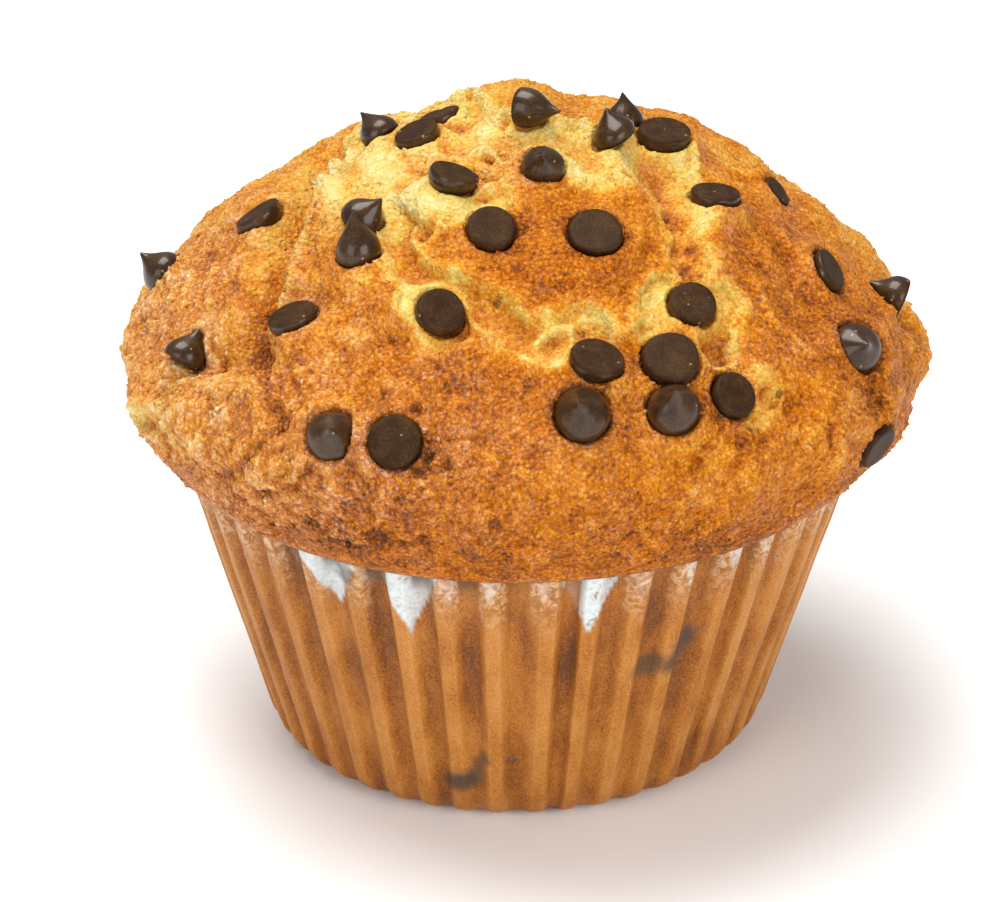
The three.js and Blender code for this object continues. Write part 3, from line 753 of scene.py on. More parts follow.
# %% Material: baked crust and crumb
def baked_finish(name, softness):
    """The finish of crust and crumb, with the share of its light that goes through it."""
    material, tree = new_material(name)
    place = add(tree, "TexCoord", {}).outputs["Object"]
    in_mm = add(tree, "VectorMath", {0: place, 1: (1 / MM,) * 3}, operation="MULTIPLY")
    bake_and_shade_node, dust_and_glints_node, smear_node = (
        add(tree, "Attribute", {}, attribute_name=label).outputs["Fac"]
        for label in ("bake_and_shade", "dust_and_glints", "smear")
    )
    grain, mottle, specks = (
        add(tree, "TexNoise", {"Vector": in_mm, "Scale": 1 / size, "Detail": detail, "Roughness": rough})
        for size, detail, rough in ((GRAIN, 3, 0.7), (MOTTLE, 3, 0.6), (SPECKS, 2, 0.6))
    )
    granules, pores = (
        add(tree, "TexVoronoi", {"Vector": in_mm, "Scale": 1 / size}, feature="F1")
        for size in (GRANULE, PORES)
    )
    pore = add(tree, "MapRange", {"Value": pores, 1: 0.08, 2: 0.28, 3: 1.0, 4: 0.0})
    speck = add(tree, "MapRange", {"Value": specks, 1: 0.52, 2: 0.64, 3: 0.0, 4: 1.0})

    # The bake and its painted shade, varied by the patterns; pores and grain borders get painted shade
    varied = -0.91
    for pattern, amount in ((grain, 1.0), (granules, 0.36), (mottle, 0.5), (pore, 0.12)):
        varied = add(tree, "Math", {0: pattern, 1: amount, 2: varied}, operation="MULTIPLY_ADD")
    spread = add(tree, "Math", {0: bake_and_shade_node, 1: 0.7, 2: 0.5}, operation="MULTIPLY_ADD")
    tone = add(tree, "Math", {0: varied, 1: spread, 2: bake_and_shade_node}, operation="MULTIPLY_ADD")
    colour = set_stops(add(tree, "ValToRGB", {"Fac": tone}), BAKE_STOPS)

    # Dust with painted sheen, specks that are painted glints too, and smears over it
    dust_and_sheen = add(tree, "Math", {0: dust_and_glints_node, 1: 0.42}, operation="MULTIPLY")
    speckling = add(tree, "Math", {0: dust_and_glints_node, 1: 0.9, 2: 0.05}, operation="MULTIPLY_ADD")
    speckling = add(tree, "Math", {0: speck, 1: speckling}, operation="MULTIPLY")
    smear_edge = add(tree, "Math", {0: grain, 1: 1.6, 2: smear_node}, operation="MULTIPLY_ADD")
    smearing = add(tree, "MapRange", {"Value": smear_edge, 1: 1.25, 2: 1.45, 3: 0.0, 4: 0.65})
    for part, over in ((dust_and_sheen, DRY_DUST_AND_SHEEN), (speckling, SUGAR_SPECK_AND_GLINT), (smearing, COCOA_SMEAR)):
        colour = add(tree, "Mix", {0: part, 6: colour, 7: linear(over)}, data_type="RGBA").outputs[2]

    # The relief of the grains, and the gloss on top of them
    hill = add(tree, "Math", {0: pore, 1: -0.35, 2: grain}, operation="MULTIPLY_ADD")
    hill = add(tree, "Math", {0: granules, 1: -0.8, 2: hill}, operation="MULTIPLY_ADD")
    grained = add(tree, "Bump", {"Height": hill, "Strength": 1.0, "Distance": BUMP_HEIGHT * MM})
    gloss = add(tree, "MapRange", {"Value": grain, 1: 0.35, 2: 0.65, 3: 0.62, 4: 0.30})
    sugar = add(tree, "MapRange", {"Value": grain, 1: 0.54, 2: 0.64, 3: 0.0, 4: 0.35})
    settings = {
        "Base Color": colour,
        "Roughness": gloss,
        "Normal": grained,
        "IOR": 1.45,
        "Specular IOR Level": 0.21,
        "Specular Tint": linear(WARM_GLOSS),
        "Coat Weight": sugar,
        "Coat Roughness": 0.15,
        "Coat IOR": 1.5,
        "Coat Normal": grained,
        "Subsurface Weight": softness,
        "Subsurface Radius": (0.9 * MM, 0.5 * MM, 0.2 * MM),
        "Subsurface Scale": 1.0,
    }
    add(tree, "OutputMaterial", {"Surface": add(tree, "BsdfPrincipled", settings)})
    return material


crust_material = baked_finish("baked_crust_and_crumb", SOFTNESS)
grain_material = baked_finish("loose_crumbs", 0.0)
print("finishes made:", crust_material.name, grain_material.name)

# %% [markdown]
# ## The muffin itself
#
# The part that stands in the case is closed below the crust with a plain rounded cone, because
# nothing of it shows. The sizes are the CAD part's: a cone that leans a little to one side, with a
# rounded foot. The paper case is built from the same two functions further on.

# %% Cones and rings
CONE_RADIUS = 28.5
CONE_SLOPE = 0.293
CONE_LEAN = 0.022
CASE_HEIGHT = 37.1
CASE_FILLET = 5.0


def rounded_cone(base_radius, floor_height, top_height, turns):
    """Rows of (radius, height) down a cone with a rounded lower edge."""
    lean = math.atan(CONE_SLOPE)
    centre_height = floor_height + CASE_FILLET
    centre_radius = base_radius + CONE_SLOPE * centre_height - CASE_FILLET / math.cos(lean)
    rows = [(base_radius + CONE_SLOPE * top_height, top_height)]
    for turn in np.linspace(lean, math.pi / 2, turns):
        out, down = CASE_FILLET * math.cos(turn), CASE_FILLET * math.sin(turn)
        rows.append((centre_radius + out, centre_height - down))
    return rows


def close_rings(first, rings, count):
    """Faces between rings of `count` points whose numbers start at `first`."""
    step = np.arange(count)
    following = (step + 1) % count
    faces = []
    for ring in range(rings - 1):
        upper, lower = first + ring * count, first + (ring + 1) * count
        corners = [upper + step, lower + step, lower + following, upper + following]
        faces.append(np.stack(corners, axis=1))
    return np.concatenate(faces)


# %% [markdown]
# The body starts at the edge of the crust's grid, goes down in rings of as many points and closes on
# one point in the middle of its floor.

# %% The body below the crust
BODY_INSET = 2.4
BODY_FLOOR = 0.75
BODY_TOP = LIP_HEIGHT - 0.3

count = len(edge)
edge_angle = np.arctan2(map_y[edge], map_x[edge])
around = np.stack([np.cos(edge_angle), np.sin(edge_angle), np.zeros(count)], axis=1)
body_rows = rounded_cone(CONE_RADIUS - BODY_INSET, BODY_FLOOR, BODY_TOP, 3)
body = [radius * around + [CONE_LEAN * height, 0, height] for radius, height in body_rows]
muffin_points = np.concatenate([surface] + body + [[[0, 0, BODY_FLOOR]]])
first = len(surface)
last = first + (len(body) - 1) * count
step = np.arange(count)
following = (step + 1) % count
even = step[::2]
floor_centre = np.full(len(even), len(muffin_points) - 1)
lip_faces = np.stack([edge, first + step, first + following, edge[following]], axis=1)
floor_faces = np.stack([floor_centre, last + (even + 2) % count, last + even + 1, last + even], axis=1)
body_faces = np.concatenate([lip_faces, close_rings(first, len(body), count), floor_faces])
print("points below the crust:", len(muffin_points) - first)

# %% [markdown]
# The crust is cut along a wandering line into a front and a back piece, so that neither is too heavy.
# Both keep the normals of the whole, and no seam shows between them.

# %% The two pieces of crust
HIDDEN_BAKE = 0.6


def point_normals(points, faces):
    """The direction straight out of a mesh of quads at each of its points."""
    corners = [points[faces[:, number]] for number in range(4)]
    facing = np.cross(corners[2] - corners[0], corners[3] - corners[1])
    total = np.zeros_like(points)
    for number in range(4):
        np.add.at(total, faces[:, number], facing)
    return total / np.linalg.norm(total, axis=1)[:, None]


muffin_normals = point_normals(muffin_points, np.concatenate([crust_faces, body_faces]))
hidden = np.zeros(len(muffin_points) - len(surface))
muffin_paint = {
    "bake_and_shade": np.concatenate([bake_and_shade, hidden + HIDDEN_BAKE]),
    "dust_and_glints": np.concatenate([dust_and_glints, hidden]),
    "smear": np.concatenate([smear, hidden]),
}
in_front = (map_y + 4 * lumps(plain, 8, 14))[crust_faces[:, 0]] < 0
muffin_parts = {
    "crust_front": crust_faces[in_front],
    "crust_back": np.concatenate([crust_faces[~in_front], body_faces]),
}
for name, faces in muffin_parts.items():
    used, renumbered = np.unique(faces, return_inverse=True)
    piece = make_piece(name, muffin_points[used], renumbered.reshape(-1, 4).tolist(), crust_material)
    piece.data.normals_split_custom_set_from_vertices(muffin_normals[used].tolist())
    for label, values in muffin_paint.items():
        paint(piece, label, values[used])
    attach(piece, "root")
    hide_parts("muffin")
    print(name, "triangles:", 2 * len(faces))

# %% [markdown]
# ## Crumbs on the crust
#
# The finest lumps of a crumbly crust are smaller than the mesh, and a bump alone casts no shadow. So
# grains of crumb, mostly 0.3 to 0.7 mm wide, are set half sunk in the surface, all in one mesh. Each
# is an octahedron, pulled out of shape and shaded smooth, which makes a small blob. They are thick
# where the crust is rough and round the chips, and few on the smooth plates.

# %% Grains of crumb
GRAIN_COUNT = 8000
GRAIN_SEED = 2024
GRAIN_SMALLEST = 0.13
GRAIN_SPREAD = 0.28
GRAIN_SINK = 0.2
CORNERS_OUT = np.array([(1, 0, 0), (-1, 0, 0), (0, 1, 0), (0, -1, 0), (0, 0, 1), (0, 0, -1)])
CORNER_FACES = np.array([
    (0, 2, 4), (2, 1, 4), (1, 3, 4), (3, 0, 4), (2, 0, 5), (1, 2, 5), (3, 1, 5), (0, 3, 5),
])

draw = np.random.default_rng(GRAIN_SEED)
clusters = np.clip(0.5 + 1.3 * lumps(plain, 2.6, 71), 0.05, 1.6)
grain_chance = clusters * np.clip(rough - 0.15, 0.05, 1) ** 1.3 * (1 - 0.75 * smooth(-0.4, 0.5, inside))
grain_chance += 0.2 * np.exp(-(((near_chip - 0.5) / 0.5) ** 2))
grain_chance *= smooth(-0.05, 0.15, near_chip) * smooth(0.6, 2, to_lip)
chance = grain_chance[crust_faces[:, 0]]
picked = crust_faces[draw.choice(len(crust_faces), GRAIN_COUNT, p=chance / chance.sum())]
home = picked[:, 0]
weights = draw.dirichlet(np.ones(4), GRAIN_COUNT)
middles = np.einsum("ij,ijk->ik", weights, surface[picked])
size = GRAIN_SMALLEST + GRAIN_SPREAD * draw.random(GRAIN_COUNT) ** 2.2
turns = np.linalg.qr(draw.normal(size=(GRAIN_COUNT, 3, 3)))[0]
turns *= np.sign(np.linalg.det(turns))[:, None, None]
stretch = size[:, None] * draw.uniform(0.75, 1.35, (GRAIN_COUNT, 3))
offsets = np.einsum("ck,nk,nkj->ncj", CORNERS_OUT, stretch, turns)
grain_points = (middles - GRAIN_SINK * size[:, None] * muffin_normals[home])[:, None, :] + offsets
grain_faces = (6 * np.arange(GRAIN_COUNT))[:, None, None] + CORNER_FACES
grain_paint = {
    "bake_and_shade": bake_and_shade[home] + draw.normal(-0.05, 0.05, GRAIN_COUNT),
    "dust_and_glints": np.clip(dust_and_glints[home] + draw.normal(0, 0.2, GRAIN_COUNT), 0, 1),
    "smear": smear[home],
}
grain_faces = grain_faces.reshape(-1, 3).tolist()
grains = make_piece("crumb_grains", grain_points.reshape(-1, 3), grain_faces, grain_material)
for label, values in grain_paint.items():
    paint(grains, label, np.repeat(values, 6))
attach(grains, "root")
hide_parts("muffin")
print("grains:", GRAIN_COUNT, "triangles:", len(grain_faces))

# %% [markdown]
# ## Chocolate chips
#
# A chip is a drop of chocolate set on a cold belt: a flat round base with a soft rim, flanks that
# swell out and then draw in to a small tip, pulled to one side as the nozzle lifts. Each drop is the
# same curve turned round its axis, and then bent and dented a little by its own seeded draw.
#
# The chocolate has been warm in the oven, so its gloss has gone dull and brown. Cocoa butter has a
# refractive index near 1.46. A drop that lies flat side out shows the face that stood on the belt,
# which has no skin and is duller than the flanks. Bloom, a film of fat crystals much finer than a
# hundredth of a millimetre, is drawn as a mottle of 0.22 mm so that it shows. It keeps the chocolate
# from black, and so do a few pale crumbs.

# %% Material: dark chocolate
CLOUD = 1.8
FINE_BLOOM = 0.22
STRAY_CRUMBS = 1.7
BLOOM_BUMP = 0.12
STRAY_CRUMB = "#9C7B58"

chocolate_material, tree = new_material("dark_chocolate")
place = add(tree, "TexCoord", {}).outputs["Object"]
in_mm = add(tree, "VectorMath", {0: place, 1: (1 / MM,) * 3}, operation="MULTIPLY")
base_node = add(tree, "Attribute", {}, attribute_name="flat_base").outputs["Fac"]
bloom, fine_bloom = (
    add(tree, "TexNoise", {"Vector": in_mm, "Scale": 1 / size, "Detail": detail, "Roughness": 0.6})
    for size, detail in ((CLOUD, 4), (FINE_BLOOM, 2))
)
crumbs = add(tree, "TexVoronoi", {"Vector": in_mm, "Scale": 1 / STRAY_CRUMBS}, feature="F1")
crumb_spot = add(tree, "MapRange", {"Value": crumbs, 1: 0.06, 2: 0.10, 3: 0.8, 4: 0.0})
tone = -0.4
for pattern, amount in ((fine_bloom, 0.8), (bloom, 1.0)):
    tone = add(tree, "Math", {0: pattern, 1: amount, 2: tone}, operation="MULTIPLY_ADD")
cocoa = add(tree, "ValToRGB", {"Fac": tone})
set_stops(cocoa, [(0.25, "#201207"), (0.5, "#321E0E"), (0.75, "#453019")])
dotted = add(tree, "Mix", {0: crumb_spot, 6: cocoa, 7: linear(STRAY_CRUMB)}, data_type="RGBA").outputs[2]
dull = add(tree, "MapRange", {"Value": bloom, 1: 0.3, 2: 0.7, 3: 0.30, 4: 0.42})
settings = {
    "Base Color": dotted,
    "Roughness": add(tree, "Math", {0: base_node, 1: 0.25, 2: dull}, operation="MULTIPLY_ADD"),
    "Normal": add(tree, "Bump", {"Height": fine_bloom, "Strength": 0.5, "Distance": BLOOM_BUMP * MM}),
    "IOR": 1.46,
    "Specular IOR Level": 0.22,
    "Specular Tint": linear("#FFE0C0"),
    "Coat Weight": add(tree, "Math", {0: base_node, 1: -0.6, 2: 0.6}, operation="MULTIPLY_ADD"),
    "Coat Roughness": 0.18,
    "Coat IOR": 1.46,
}
add(tree, "OutputMaterial", {"Surface": add(tree, "BsdfPrincipled", settings)})
print("finish made:", chocolate_material.name)

# %% [markdown]
# The curve below is half of a drop's outline, as shares of its half width and of its height. Its
# flanks are full near the base and hollow under the tip.

# %% The shape of a drop
CHIP_COLUMNS = 40
CHIP_CURVE = [
    (0.35, 0.012), (0.62, 0.004), (0.84, 0.0), (0.93, 0.01), (0.98, 0.045), (1.0, 0.10), (1.0, 0.165),
    (0.99, 0.235), (0.955, 0.31), (0.895, 0.385), (0.81, 0.455), (0.705, 0.525), (0.59, 0.59),
    (0.475, 0.655), (0.365, 0.72), (0.27, 0.785), (0.19, 0.85), (0.125, 0.91), (0.075, 0.96),
    (0.035, 0.988),
]


def chip_points(wide, tall, draw):
    """A drop that stands on its base at the origin, with its tip along +Z."""
    turn = np.linspace(0, 2 * math.pi, CHIP_COLUMNS, endpoint=False)
    radius, height = (side[:, None] for side in np.array(CHIP_CURVE).T)
    bulge = 1 + 0.025 * np.sin(2 * turn + draw.uniform(0, 6)) + 0.015 * np.sin(3 * turn + draw.uniform(0, 6))
    lean_x, lean_y = draw.uniform(-0.12, 0.12, 2) * wide
    dent = draw.uniform(0, 0.04) * tall * np.cos(turn - draw.uniform(0, 6))
    across = wide / 2 * radius * bulge
    level = tall * height + dent * radius**2 * (height > 0.04)
    side_x = across * np.cos(turn) + height**3 * lean_x
    side_y = across * np.sin(turn) + height**3 * lean_y
    rings = np.stack([side_x, side_y, level], axis=2).reshape(-1, 3)
    return np.concatenate([[[0, 0, 0.015 * tall]], rings, [[lean_x, lean_y, tall]]])


def chip_faces():
    """Faces of a drop, from the middle of its base to its tip."""
    now = np.arange(CHIP_COLUMNS)
    after = (now + 1) % CHIP_COLUMNS
    last = 1 + (len(CHIP_CURVE) - 1) * CHIP_COLUMNS
    foot = [[0, 1 + b, 1 + a] for a, b in zip(now, after)]
    side = close_rings(1, len(CHIP_CURVE), CHIP_COLUMNS)[:, ::-1].tolist()
    return foot + side + [[last + a, last + b, last + CHIP_COLUMNS] for a, b in zip(now, after)]


print("faces of a drop:", len(chip_faces()))

# %% [markdown]
# Every drop stands in the place of its CAD chip, turned the same way. The points of its flat base are
# marked, so that the finish can make them duller.

# %% The chips
CHIP_SEED = 500
BASE_RINGS = 5

flat_base = np.zeros(2 + len(CHIP_CURVE) * CHIP_COLUMNS)
flat_base[: 1 + BASE_RINGS * CHIP_COLUMNS] = 1
for number, (name, place) in enumerate(zip(chip_names, chip_places)):
    middle, tip, wide, tall = place
    draw = np.random.default_rng(CHIP_SEED + number)
    turned = np.array(Vector((0, 0, 1)).rotation_difference(Vector(tip)).to_matrix())
    points = chip_points(wide, tall, draw) @ turned.T + middle
    chip = make_piece("drop_" + name[5:], points, chip_faces(), chocolate_material)
    paint(chip, "flat_base", flat_base)
    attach(chip, "root")
    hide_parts(name)
print("chips made:", len(chip_names))

# %% [markdown]
# ## The paper case
#
# A muffin case is a disc of greaseproof paper pressed into pleats by a die. Where the cake touches
# it, the fat soaks in and turns it amber and half clear. Where it stands off, as on the ridges
# and under the lip, it stays pale and dry. The pleats are the CAD part's own, 44 of them, each a
# little different, and the same seeded draw gives the same pleats here. With 30 columns to a pleat
# the folds stay crisp.

# %% Pleats
PAPER = 0.45
PLEATS = 44
PLEAT_DEPTH_TOP = 1.4
PLEAT_DEPTH_FLOOR = 0.6
PLEAT_PHASE = 0.3
RIDGE_SHARE = 0.3
PLEAT_UNEVENNESS = 0.16
PLEAT_SEED = 5
CASE_COLUMNS = PLEATS * 30
FOLD_WIDTH = 0.16
FOLD_RADIUS = 36


def pleat_draw(seed):
    """The CAD part's stream of numbers between 0 and 1."""
    state = seed
    while True:
        state = (state * 1664525 + 1013904223) % 4294967296
        yield state / 4294967296


numbers = pleat_draw(PLEAT_SEED)
corner_turns, corner_depths = [], []
for pleat in range(PLEATS):
    drift = PLEAT_UNEVENNESS * (next(numbers) - 0.5)
    depth = 1 + PLEAT_UNEVENNESS * (next(numbers) - 0.5) * 2
    ridge = pleat + PLEAT_PHASE + drift
    corner_turns += [ridge, ridge + RIDGE_SHARE, ridge + 0.5, ridge + 0.5 + RIDGE_SHARE]
    corner_depths += [0, 0, depth, depth]
turns = np.arange(CASE_COLUMNS) * PLEATS / CASE_COLUMNS
pleat_depth = np.interp(turns, corner_turns, corner_depths, period=PLEATS)
# A thin line along each ridge fold is painted lighter: partly the crease, partly a painted highlight
ridge_corners = np.array(corner_turns).reshape(-1, 4)[:, :2].ravel()
from_fold = np.abs((turns[:, None] - ridge_corners + PLEATS / 2) % PLEATS - PLEATS / 2).min(axis=1)
fold_highlight_line = np.exp(-((from_fold * 2 * math.pi * FOLD_RADIUS / PLEATS / FOLD_WIDTH) ** 2))
case_angle = 2 * math.pi * turns / PLEATS
print("pleats:", PLEATS, "deepest, mm:", round(PLEAT_DEPTH_TOP * pleat_depth.max(), 2))

# %% [markdown]
# The wall is a ring of those columns at each height, with a fine outside, where the paper buckles a
# little, and a plain inside that nobody sees.

# %% Case mesh
OUTSIDE_ROWS = 40
INSIDE_ROWS = 4
BUCKLE = 0.10


def case_rows(levels, fillet_turns):
    """Rows of (radius, height) down the wall, with `levels` of them above the rounded foot."""
    wall = np.array(rounded_cone(CONE_RADIUS, 0, CASE_HEIGHT, fillet_turns))
    parts = np.linspace(0, 1, levels, endpoint=False)[:, None]
    return np.concatenate([wall[0] + parts * (wall[1] - wall[0]), wall[1:]])


def case_ring(radius, height, inward):
    """One ring of the wall's points."""
    depth = PLEAT_DEPTH_FLOOR + (PLEAT_DEPTH_TOP - PLEAT_DEPTH_FLOOR) * height / CASE_HEIGHT
    reach = radius - inward - depth * pleat_depth
    side_x = CONE_LEAN * height + reach * np.cos(case_angle)
    return np.stack([side_x, reach * np.sin(case_angle), np.full(CASE_COLUMNS, height)], axis=1)


outside = np.concatenate([case_ring(radius, height, 0) for radius, height in case_rows(OUTSIDE_ROWS, 7)])
buckles = BUCKLE * np.minimum(lumps(outside * (1, 1, 0.35), 3.2, 62), 0.3) * smooth(0.5, 3, outside[:, 2])
outside[:, :2] *= 1 + (buckles / np.hypot(outside[:, 0], outside[:, 1]))[:, None]
inner_rows = [case_ring(radius, max(height, PAPER), PAPER) for radius, height in case_rows(INSIDE_ROWS, 4)]
inner_wall = np.concatenate(inner_rows[::-1])
case_points = np.concatenate([[[0, 0, PAPER]], inner_wall, outside, [[0, 0, 0]]])
ring_count = (len(inner_wall) + len(outside)) // CASE_COLUMNS
now = np.arange(CASE_COLUMNS)
after = (now + 1) % CASE_COLUMNS
last = 1 + (ring_count - 1) * CASE_COLUMNS
case_faces = [[0, 1 + a, 1 + b] for a, b in zip(now, after)]
case_faces += close_rings(1, ring_count, CASE_COLUMNS).tolist()
case_faces += [[last + CASE_COLUMNS, last + b, last + a] for a, b in zip(now, after)]
print("case points:", len(case_points))

# %% [markdown]
# The stains are painted in the same way as the baking tones, as numbers on the points. Dry paper is
# left in wedges that hang from the top edge on the ridges, because there the cake has pulled away
# from the pleat, so a wedge ends sharply at the fold. Where a chip lies against the paper, it shows
# through as a grey smudge, and two more dark patches high on the wall are painted shade under the
# lip. Those at the back come from a seeded draw.

# %% Where paper is dry and where chips show through
# angle in degrees, half width in degrees at the top, height of its tip, how dry
DRY_WEDGES = [
    (236.4, 6.4, 29.8, 1.0), (250.6, 6.0, 28.2, 1.0), (281.2, 5.8, 29.0, 1.0), (228.0, 2.6, 33.0, 0.2),
    (243.6, 2.6, 33.0, 0.15), (257.8, 2.4, 33.0, 0.2), (264.8, 2.2, 33.5, 0.3), (273.3, 2.2, 33.0, 0.2),
    (289.6, 2.6, 32.5, 0.15), (298.6, 2.4, 33.0, 0.3), (307.0, 2.4, 33.0, 0.4), (314.4, 2.2, 33.0, 0.3),
]
# run of (angle in degrees, height), reach, how dark
CHIP_SHADOWS = [
    ([(256.5, 6.2), (259.8, 6.6)], 1.7, 0.9), ([(259.8, 6.6), (262.6, 10.0)], 1.0, 0.7),
    ([(268.0, 9.3), (268.4, 9.6)], 0.6, 0.6), ([(293.4, 21.5), (294.8, 22.3)], 1.7, 0.75),
    # The last two, 34 to 36 mm up, are painted shade under the lip, not chips
    ([(299.0, 21.6), (301.6, 24.8)], 1.6, 0.85), ([(239.0, 34.0), (240.0, 35.5)], 1.1, 0.7),
    ([(254.2, 35.0), (255.0, 36.0)], 0.9, 0.5),
]
BACK_WEDGES = 12
BACK_SHADOWS = 5
STAIN_SEED = 77

draw = np.random.default_rng(STAIN_SEED)
back_wedges = [
    (draw.uniform(-25, 200), draw.uniform(2, 3.6), draw.uniform(28, 34), draw.choice([0.4, 0.6, 1.0]))
    for _ in range(BACK_WEDGES)
]
back_shadows = []
for _ in range(BACK_SHADOWS):
    angle, height = draw.uniform(0, 190), draw.uniform(5, 28)
    run = [(angle, height), (angle + draw.uniform(-4, 4), height + draw.uniform(-2, 2))]
    back_shadows.append((run, draw.uniform(0.6, 1.3), draw.uniform(0.4, 0.8)))
print("dry wedges:", len(DRY_WEDGES + back_wedges), "shadows:", len(CHIP_SHADOWS + back_shadows))

# %% [markdown]
# Each point of the case is placed by its angle and its height. The wedges keep to the ridges, brown
# veins cross the ridges near the top edge, and the notches between them get painted shade, because
# the lip of the crust lies over them.

# %% Stains
MM_PER_DEGREE = 0.56
NOTCH_ANGLES = [0, 220, 232, 258, 270, 360]
NOTCH_DEPTHS = [0.3, 0.3, 0.85, 0.85, 0.3, 0.3]

case_x, case_y, paper_height = case_points.T
paper_angle = np.degrees(np.arctan2(case_y, case_x - CONE_LEAN * paper_height)) % 360
fray = lumps(case_points, 1.6, 61)
ring_share = 1 - pleat_depth / pleat_depth.max()
ridge = np.concatenate([[0.5], np.tile(ring_share, ring_count), [0.5]])
fold_highlight = np.concatenate([[0], np.tile(fold_highlight_line, ring_count), [0]]) * smooth(2, 8, paper_height)
dry = np.zeros(len(case_points))
for angle, half, apex, strength in DRY_WEDGES + back_wedges:
    off = np.abs((paper_angle - angle + 180) % 360 - 180)
    width = half * np.clip((paper_height - apex) / (CASE_HEIGHT - apex), -1, 1)
    dry = np.maximum(dry, strength * smooth(-0.2, 0.4, width - off + 0.5 * fray))
dry *= smooth(-0.05, 0.16, ridge)
veined = smooth(28, 36.5, paper_height + 1.5 * fray) * smooth(0.1, 0.6, ridge)
show_through_and_shade = np.zeros(len(case_points))
for run, reach, strength in CHIP_SHADOWS + back_shadows:
    flat_run = [(angle * MM_PER_DEGREE, height) for angle, height in run]
    near = beside_run(flat_run, paper_angle * MM_PER_DEGREE, paper_height)[0] + 0.5 * fray
    show_through_and_shade = np.maximum(show_through_and_shade, strength * (1 - smooth(0.3, 1.3, near / reach)))
# Painted shade in the valleys just under the lip, darkest at the front left
notch = smooth(33, 36.5, paper_height + 0.6 * fray) * (1 - smooth(0.2, 0.6, ridge))
show_through_and_shade = np.maximum(show_through_and_shade, notch * np.interp(paper_angle, NOTCH_ANGLES, NOTCH_DEPTHS))
print("dry share of the paper:", round(float((dry > 0.5).mean()), 3))

# %% [markdown]
# ## The greaseproof finish
#
# Greaseproof paper is hard beaten pulp, smooth and slightly glossy, with a refractive index near
# 1.5. Fat has filled the valleys and made them deep amber, and the ridges stay tan. Its fibres are
# only 0.03 mm wide, so they are drawn as a speckle of 0.24 mm that shows. Where the paper has half
# dried there are brown veins round pale islands, about 1 mm across.

# %% Material: greaseproof paper
FIBRE = 0.24
VEIN = 1.1
STAIN = 5.0
FIBRE_BUMP = 0.12
CHIP_SHADE = "#3E342B"

paper_material, tree = new_material("greaseproof_paper")
place = add(tree, "TexCoord", {}).outputs["Object"]
in_mm = add(tree, "VectorMath", {0: place, 1: (1 / MM,) * 3}, operation="MULTIPLY")
upright = add(tree, "VectorMath", {0: in_mm, 1: (1, 1, 0.3)}, operation="MULTIPLY")
ridge_node, fold_highlight_node, dry_node, veined_node, show_through_and_shade_node = (
    add(tree, "Attribute", {}, attribute_name=label).outputs["Fac"]
    for label in ("ridge", "fold_highlight", "dry", "veined", "show_through_and_shade")
)
fibre = add(tree, "TexNoise", {"Vector": in_mm, "Scale": 1 / FIBRE, "Detail": 2, "Roughness": 0.7})
stain = add(tree, "TexNoise", {"Vector": upright, "Scale": 1 / STAIN, "Detail": 4, "Roughness": 0.6})
vein = add(tree, "TexNoise", {"Vector": in_mm, "Scale": 1 / VEIN, "Detail": 3, "Roughness": 0.6})
vein.inputs["Distortion"].default_value = 1.5
# Ridges are tan, and the fold lines get a faint painted highlight
tone = -0.50
for pattern, amount in ((ridge_node, 0.20), (fibre, 0.8), (stain, 0.95), (fold_highlight_node, 0.05)):
    tone = add(tree, "Math", {0: pattern, 1: amount, 2: tone}, operation="MULTIPLY_ADD")
amber, veins, parched = (add(tree, "ValToRGB", {"Fac": value}) for value in (tone, vein, vein))
set_stops(amber, [(0.2, "#5E3410"), (0.4, "#935310"), (0.6, "#AE7029"), (0.8, "#BA8144"), (1.0, "#CB9C64")])
set_stops(veins, [(0.38, "#80552F"), (0.50, "#B98A5C"), (0.62, "#D9BE9C")])
set_stops(parched, [(0.30, "#9C8A7A"), (0.38, "#B9BCBA"), (0.6, "#C9D0D0")])
veining = add(tree, "Math", {0: veined_node, 1: 0.65}, operation="MULTIPLY")
colour = amber
for part, over in ((veining, veins), (dry_node, parched), (show_through_and_shade_node, linear(CHIP_SHADE))):
    colour = add(tree, "Mix", {0: part, 6: colour, 7: over}, data_type="RGBA").outputs[2]
settings = {
    "Base Color": colour,
    "Roughness": 0.55,
    "Normal": add(tree, "Bump", {"Height": fibre, "Strength": 0.6, "Distance": FIBRE_BUMP * MM}),
    "IOR": 1.5,
    "Specular IOR Level": 0.3,
}
add(tree, "OutputMaterial", {"Surface": add(tree, "BsdfPrincipled", settings)})
print("finish made:", paper_material.name)

# %% [markdown]
# The case gets its finish and its painted numbers, and takes the place of the CAD case.

# %% The case
paper_paint = {"ridge": ridge, "fold_highlight": fold_highlight, "dry": dry, "veined": veined, "show_through_and_shade": show_through_and_shade}

case = make_piece("pleated_case", case_points, case_faces, paper_material)
for label, values in paper_paint.items():
    paint(case, label, values)
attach(case, "root")
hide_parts("paper_case")
print("case triangles:", sum(len(face) - 2 for face in case_faces))

# %% [markdown]
# ## Floor, light and camera
#
# The floor is a pale matt sheet, so large that no edge of it is seen. Its faint mottle gives the eye
# a white that is a surface and not an empty background.

# %% Floor
FLOOR_HALF = 3000
FLOOR_CORNERS = [(-1, -1), (1, -1), (1, 1), (-1, 1)]

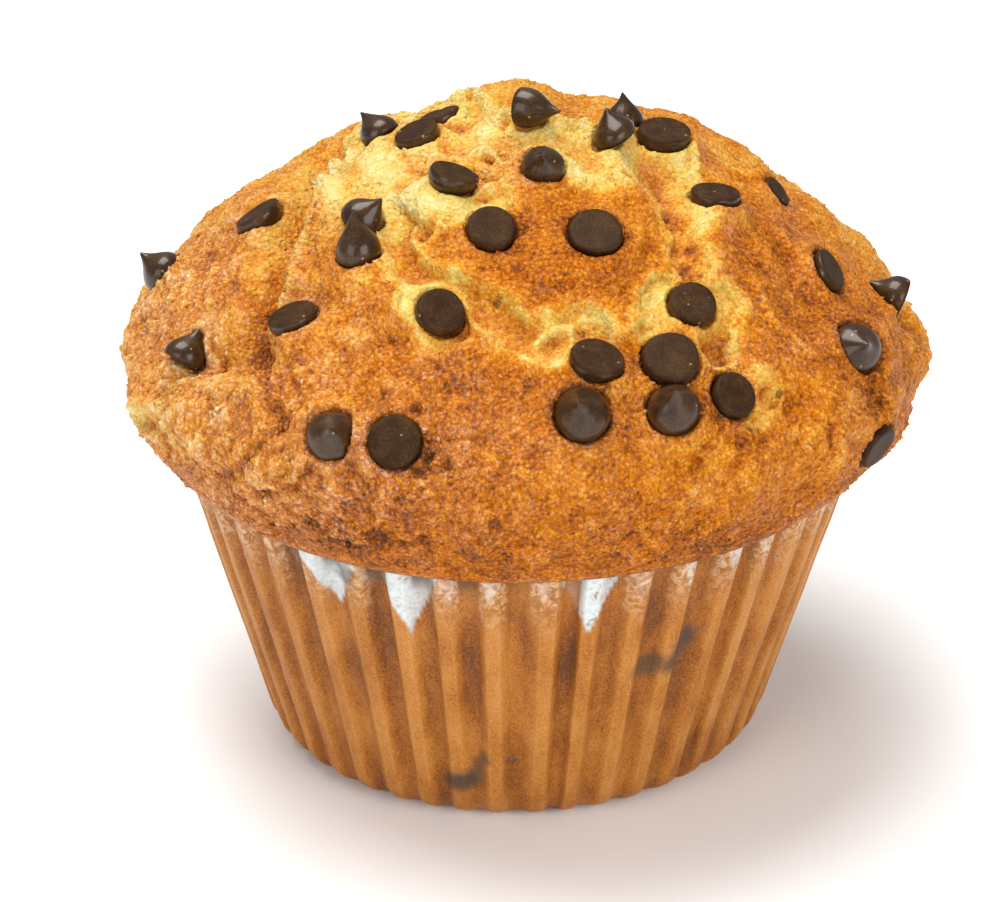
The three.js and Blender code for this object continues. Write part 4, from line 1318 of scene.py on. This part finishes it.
floor_material, tree = new_material("matt_studio_floor")
dust = add(tree, "TexNoise", {"Scale": 40.0, "Detail": 2})
white = set_stops(add(tree, "ValToRGB", {"Fac": dust}), [(0.3, "#FBFBFA"), (0.7, "#FEFEFD")])
matt = add(tree, "BsdfPrincipled", {"Base Color": white, "Roughness": 0.9})
add(tree, "OutputMaterial", {"Surface": matt})
floor_points = [(FLOOR_HALF * x, FLOOR_HALF * y, 0) for x, y in FLOOR_CORNERS]
floor = make_piece("floor", floor_points, [(0, 1, 2, 3)], floor_material)
print("floor, m:", 2 * FLOOR_HALF * MM)

# %% [markdown]
# One large soft light hangs above and a little behind, so that the folds of the crust throw short
# shadows to the front. Two weak ones from the sides and a dim white room keep the case readable.

# %% Lights
TARGET = (0, 0, 45)
ROOM_STRENGTH = 0.30
# name, place in mm, side in mm, power in W
LAMPS = [
    ("key", (-105, 85, 685), 480, 6.1),
    ("fill", (400, -500, 260), 420, 2.75),
    ("side", (-400, -500, 260), 420, 1.75),
]

for name, place, side, power in LAMPS:
    lamp = bpy.data.lights.new(name, "AREA")
    lamp.size = side * MM
    lamp.energy = power
    light = bpy.data.objects.new(name, lamp)
    light.location = Vector(place) * MM
    light.rotation_euler = (Vector(TARGET) - Vector(place)).to_track_quat("-Z", "Y").to_euler()
    bpy.context.scene.collection.objects.link(light)

world = bpy.data.worlds.new("studio")
world.use_nodes = True
room = world.node_tree.nodes["Background"]
room.inputs["Color"].default_value = linear("#FFFFFF")
room.inputs["Strength"].default_value = ROOM_STRENGTH
bpy.context.scene.world = world
bpy.context.scene.view_settings.view_transform = "Standard"
print("lights:", len(LAMPS))

# %% [markdown]
# The camera stands half a metre away, looks down by 26.5 degrees and is tipped by less than one. A
# long lens keeps the case's sides nearly straight.

# %% Camera
CAMERA_PITCH = math.radians(26.5)
CAMERA_REACH = 500
CAMERA_AIM = (-1.10, 0, 33)
CAMERA_ROLL = -0.013
LENS = 154.0
SENSOR = 36.0

right = Vector((1, 0, 0))
forward = Vector((0, math.cos(CAMERA_PITCH), -math.sin(CAMERA_PITCH)))
up = right.cross(forward)
rolled_right = math.cos(CAMERA_ROLL) * right + math.sin(CAMERA_ROLL) * up
rolled_up = -math.sin(CAMERA_ROLL) * right + math.cos(CAMERA_ROLL) * up
turned = Matrix((rolled_right, rolled_up, -forward)).transposed()
stand = Vector(CAMERA_AIM) - CAMERA_REACH * forward
camera_data = bpy.data.cameras.new("camera")
camera_data.lens = LENS
camera_data.sensor_width = SENSOR
camera_data.clip_start = 0.01
camera = bpy.data.objects.new("camera", camera_data)
camera.matrix_world = Matrix.Translation(stand * MM) @ turned.to_4x4()
bpy.context.scene.collection.objects.link(camera)
bpy.context.scene.camera = camera
print("camera at, mm:", [round(value) for value in stand])
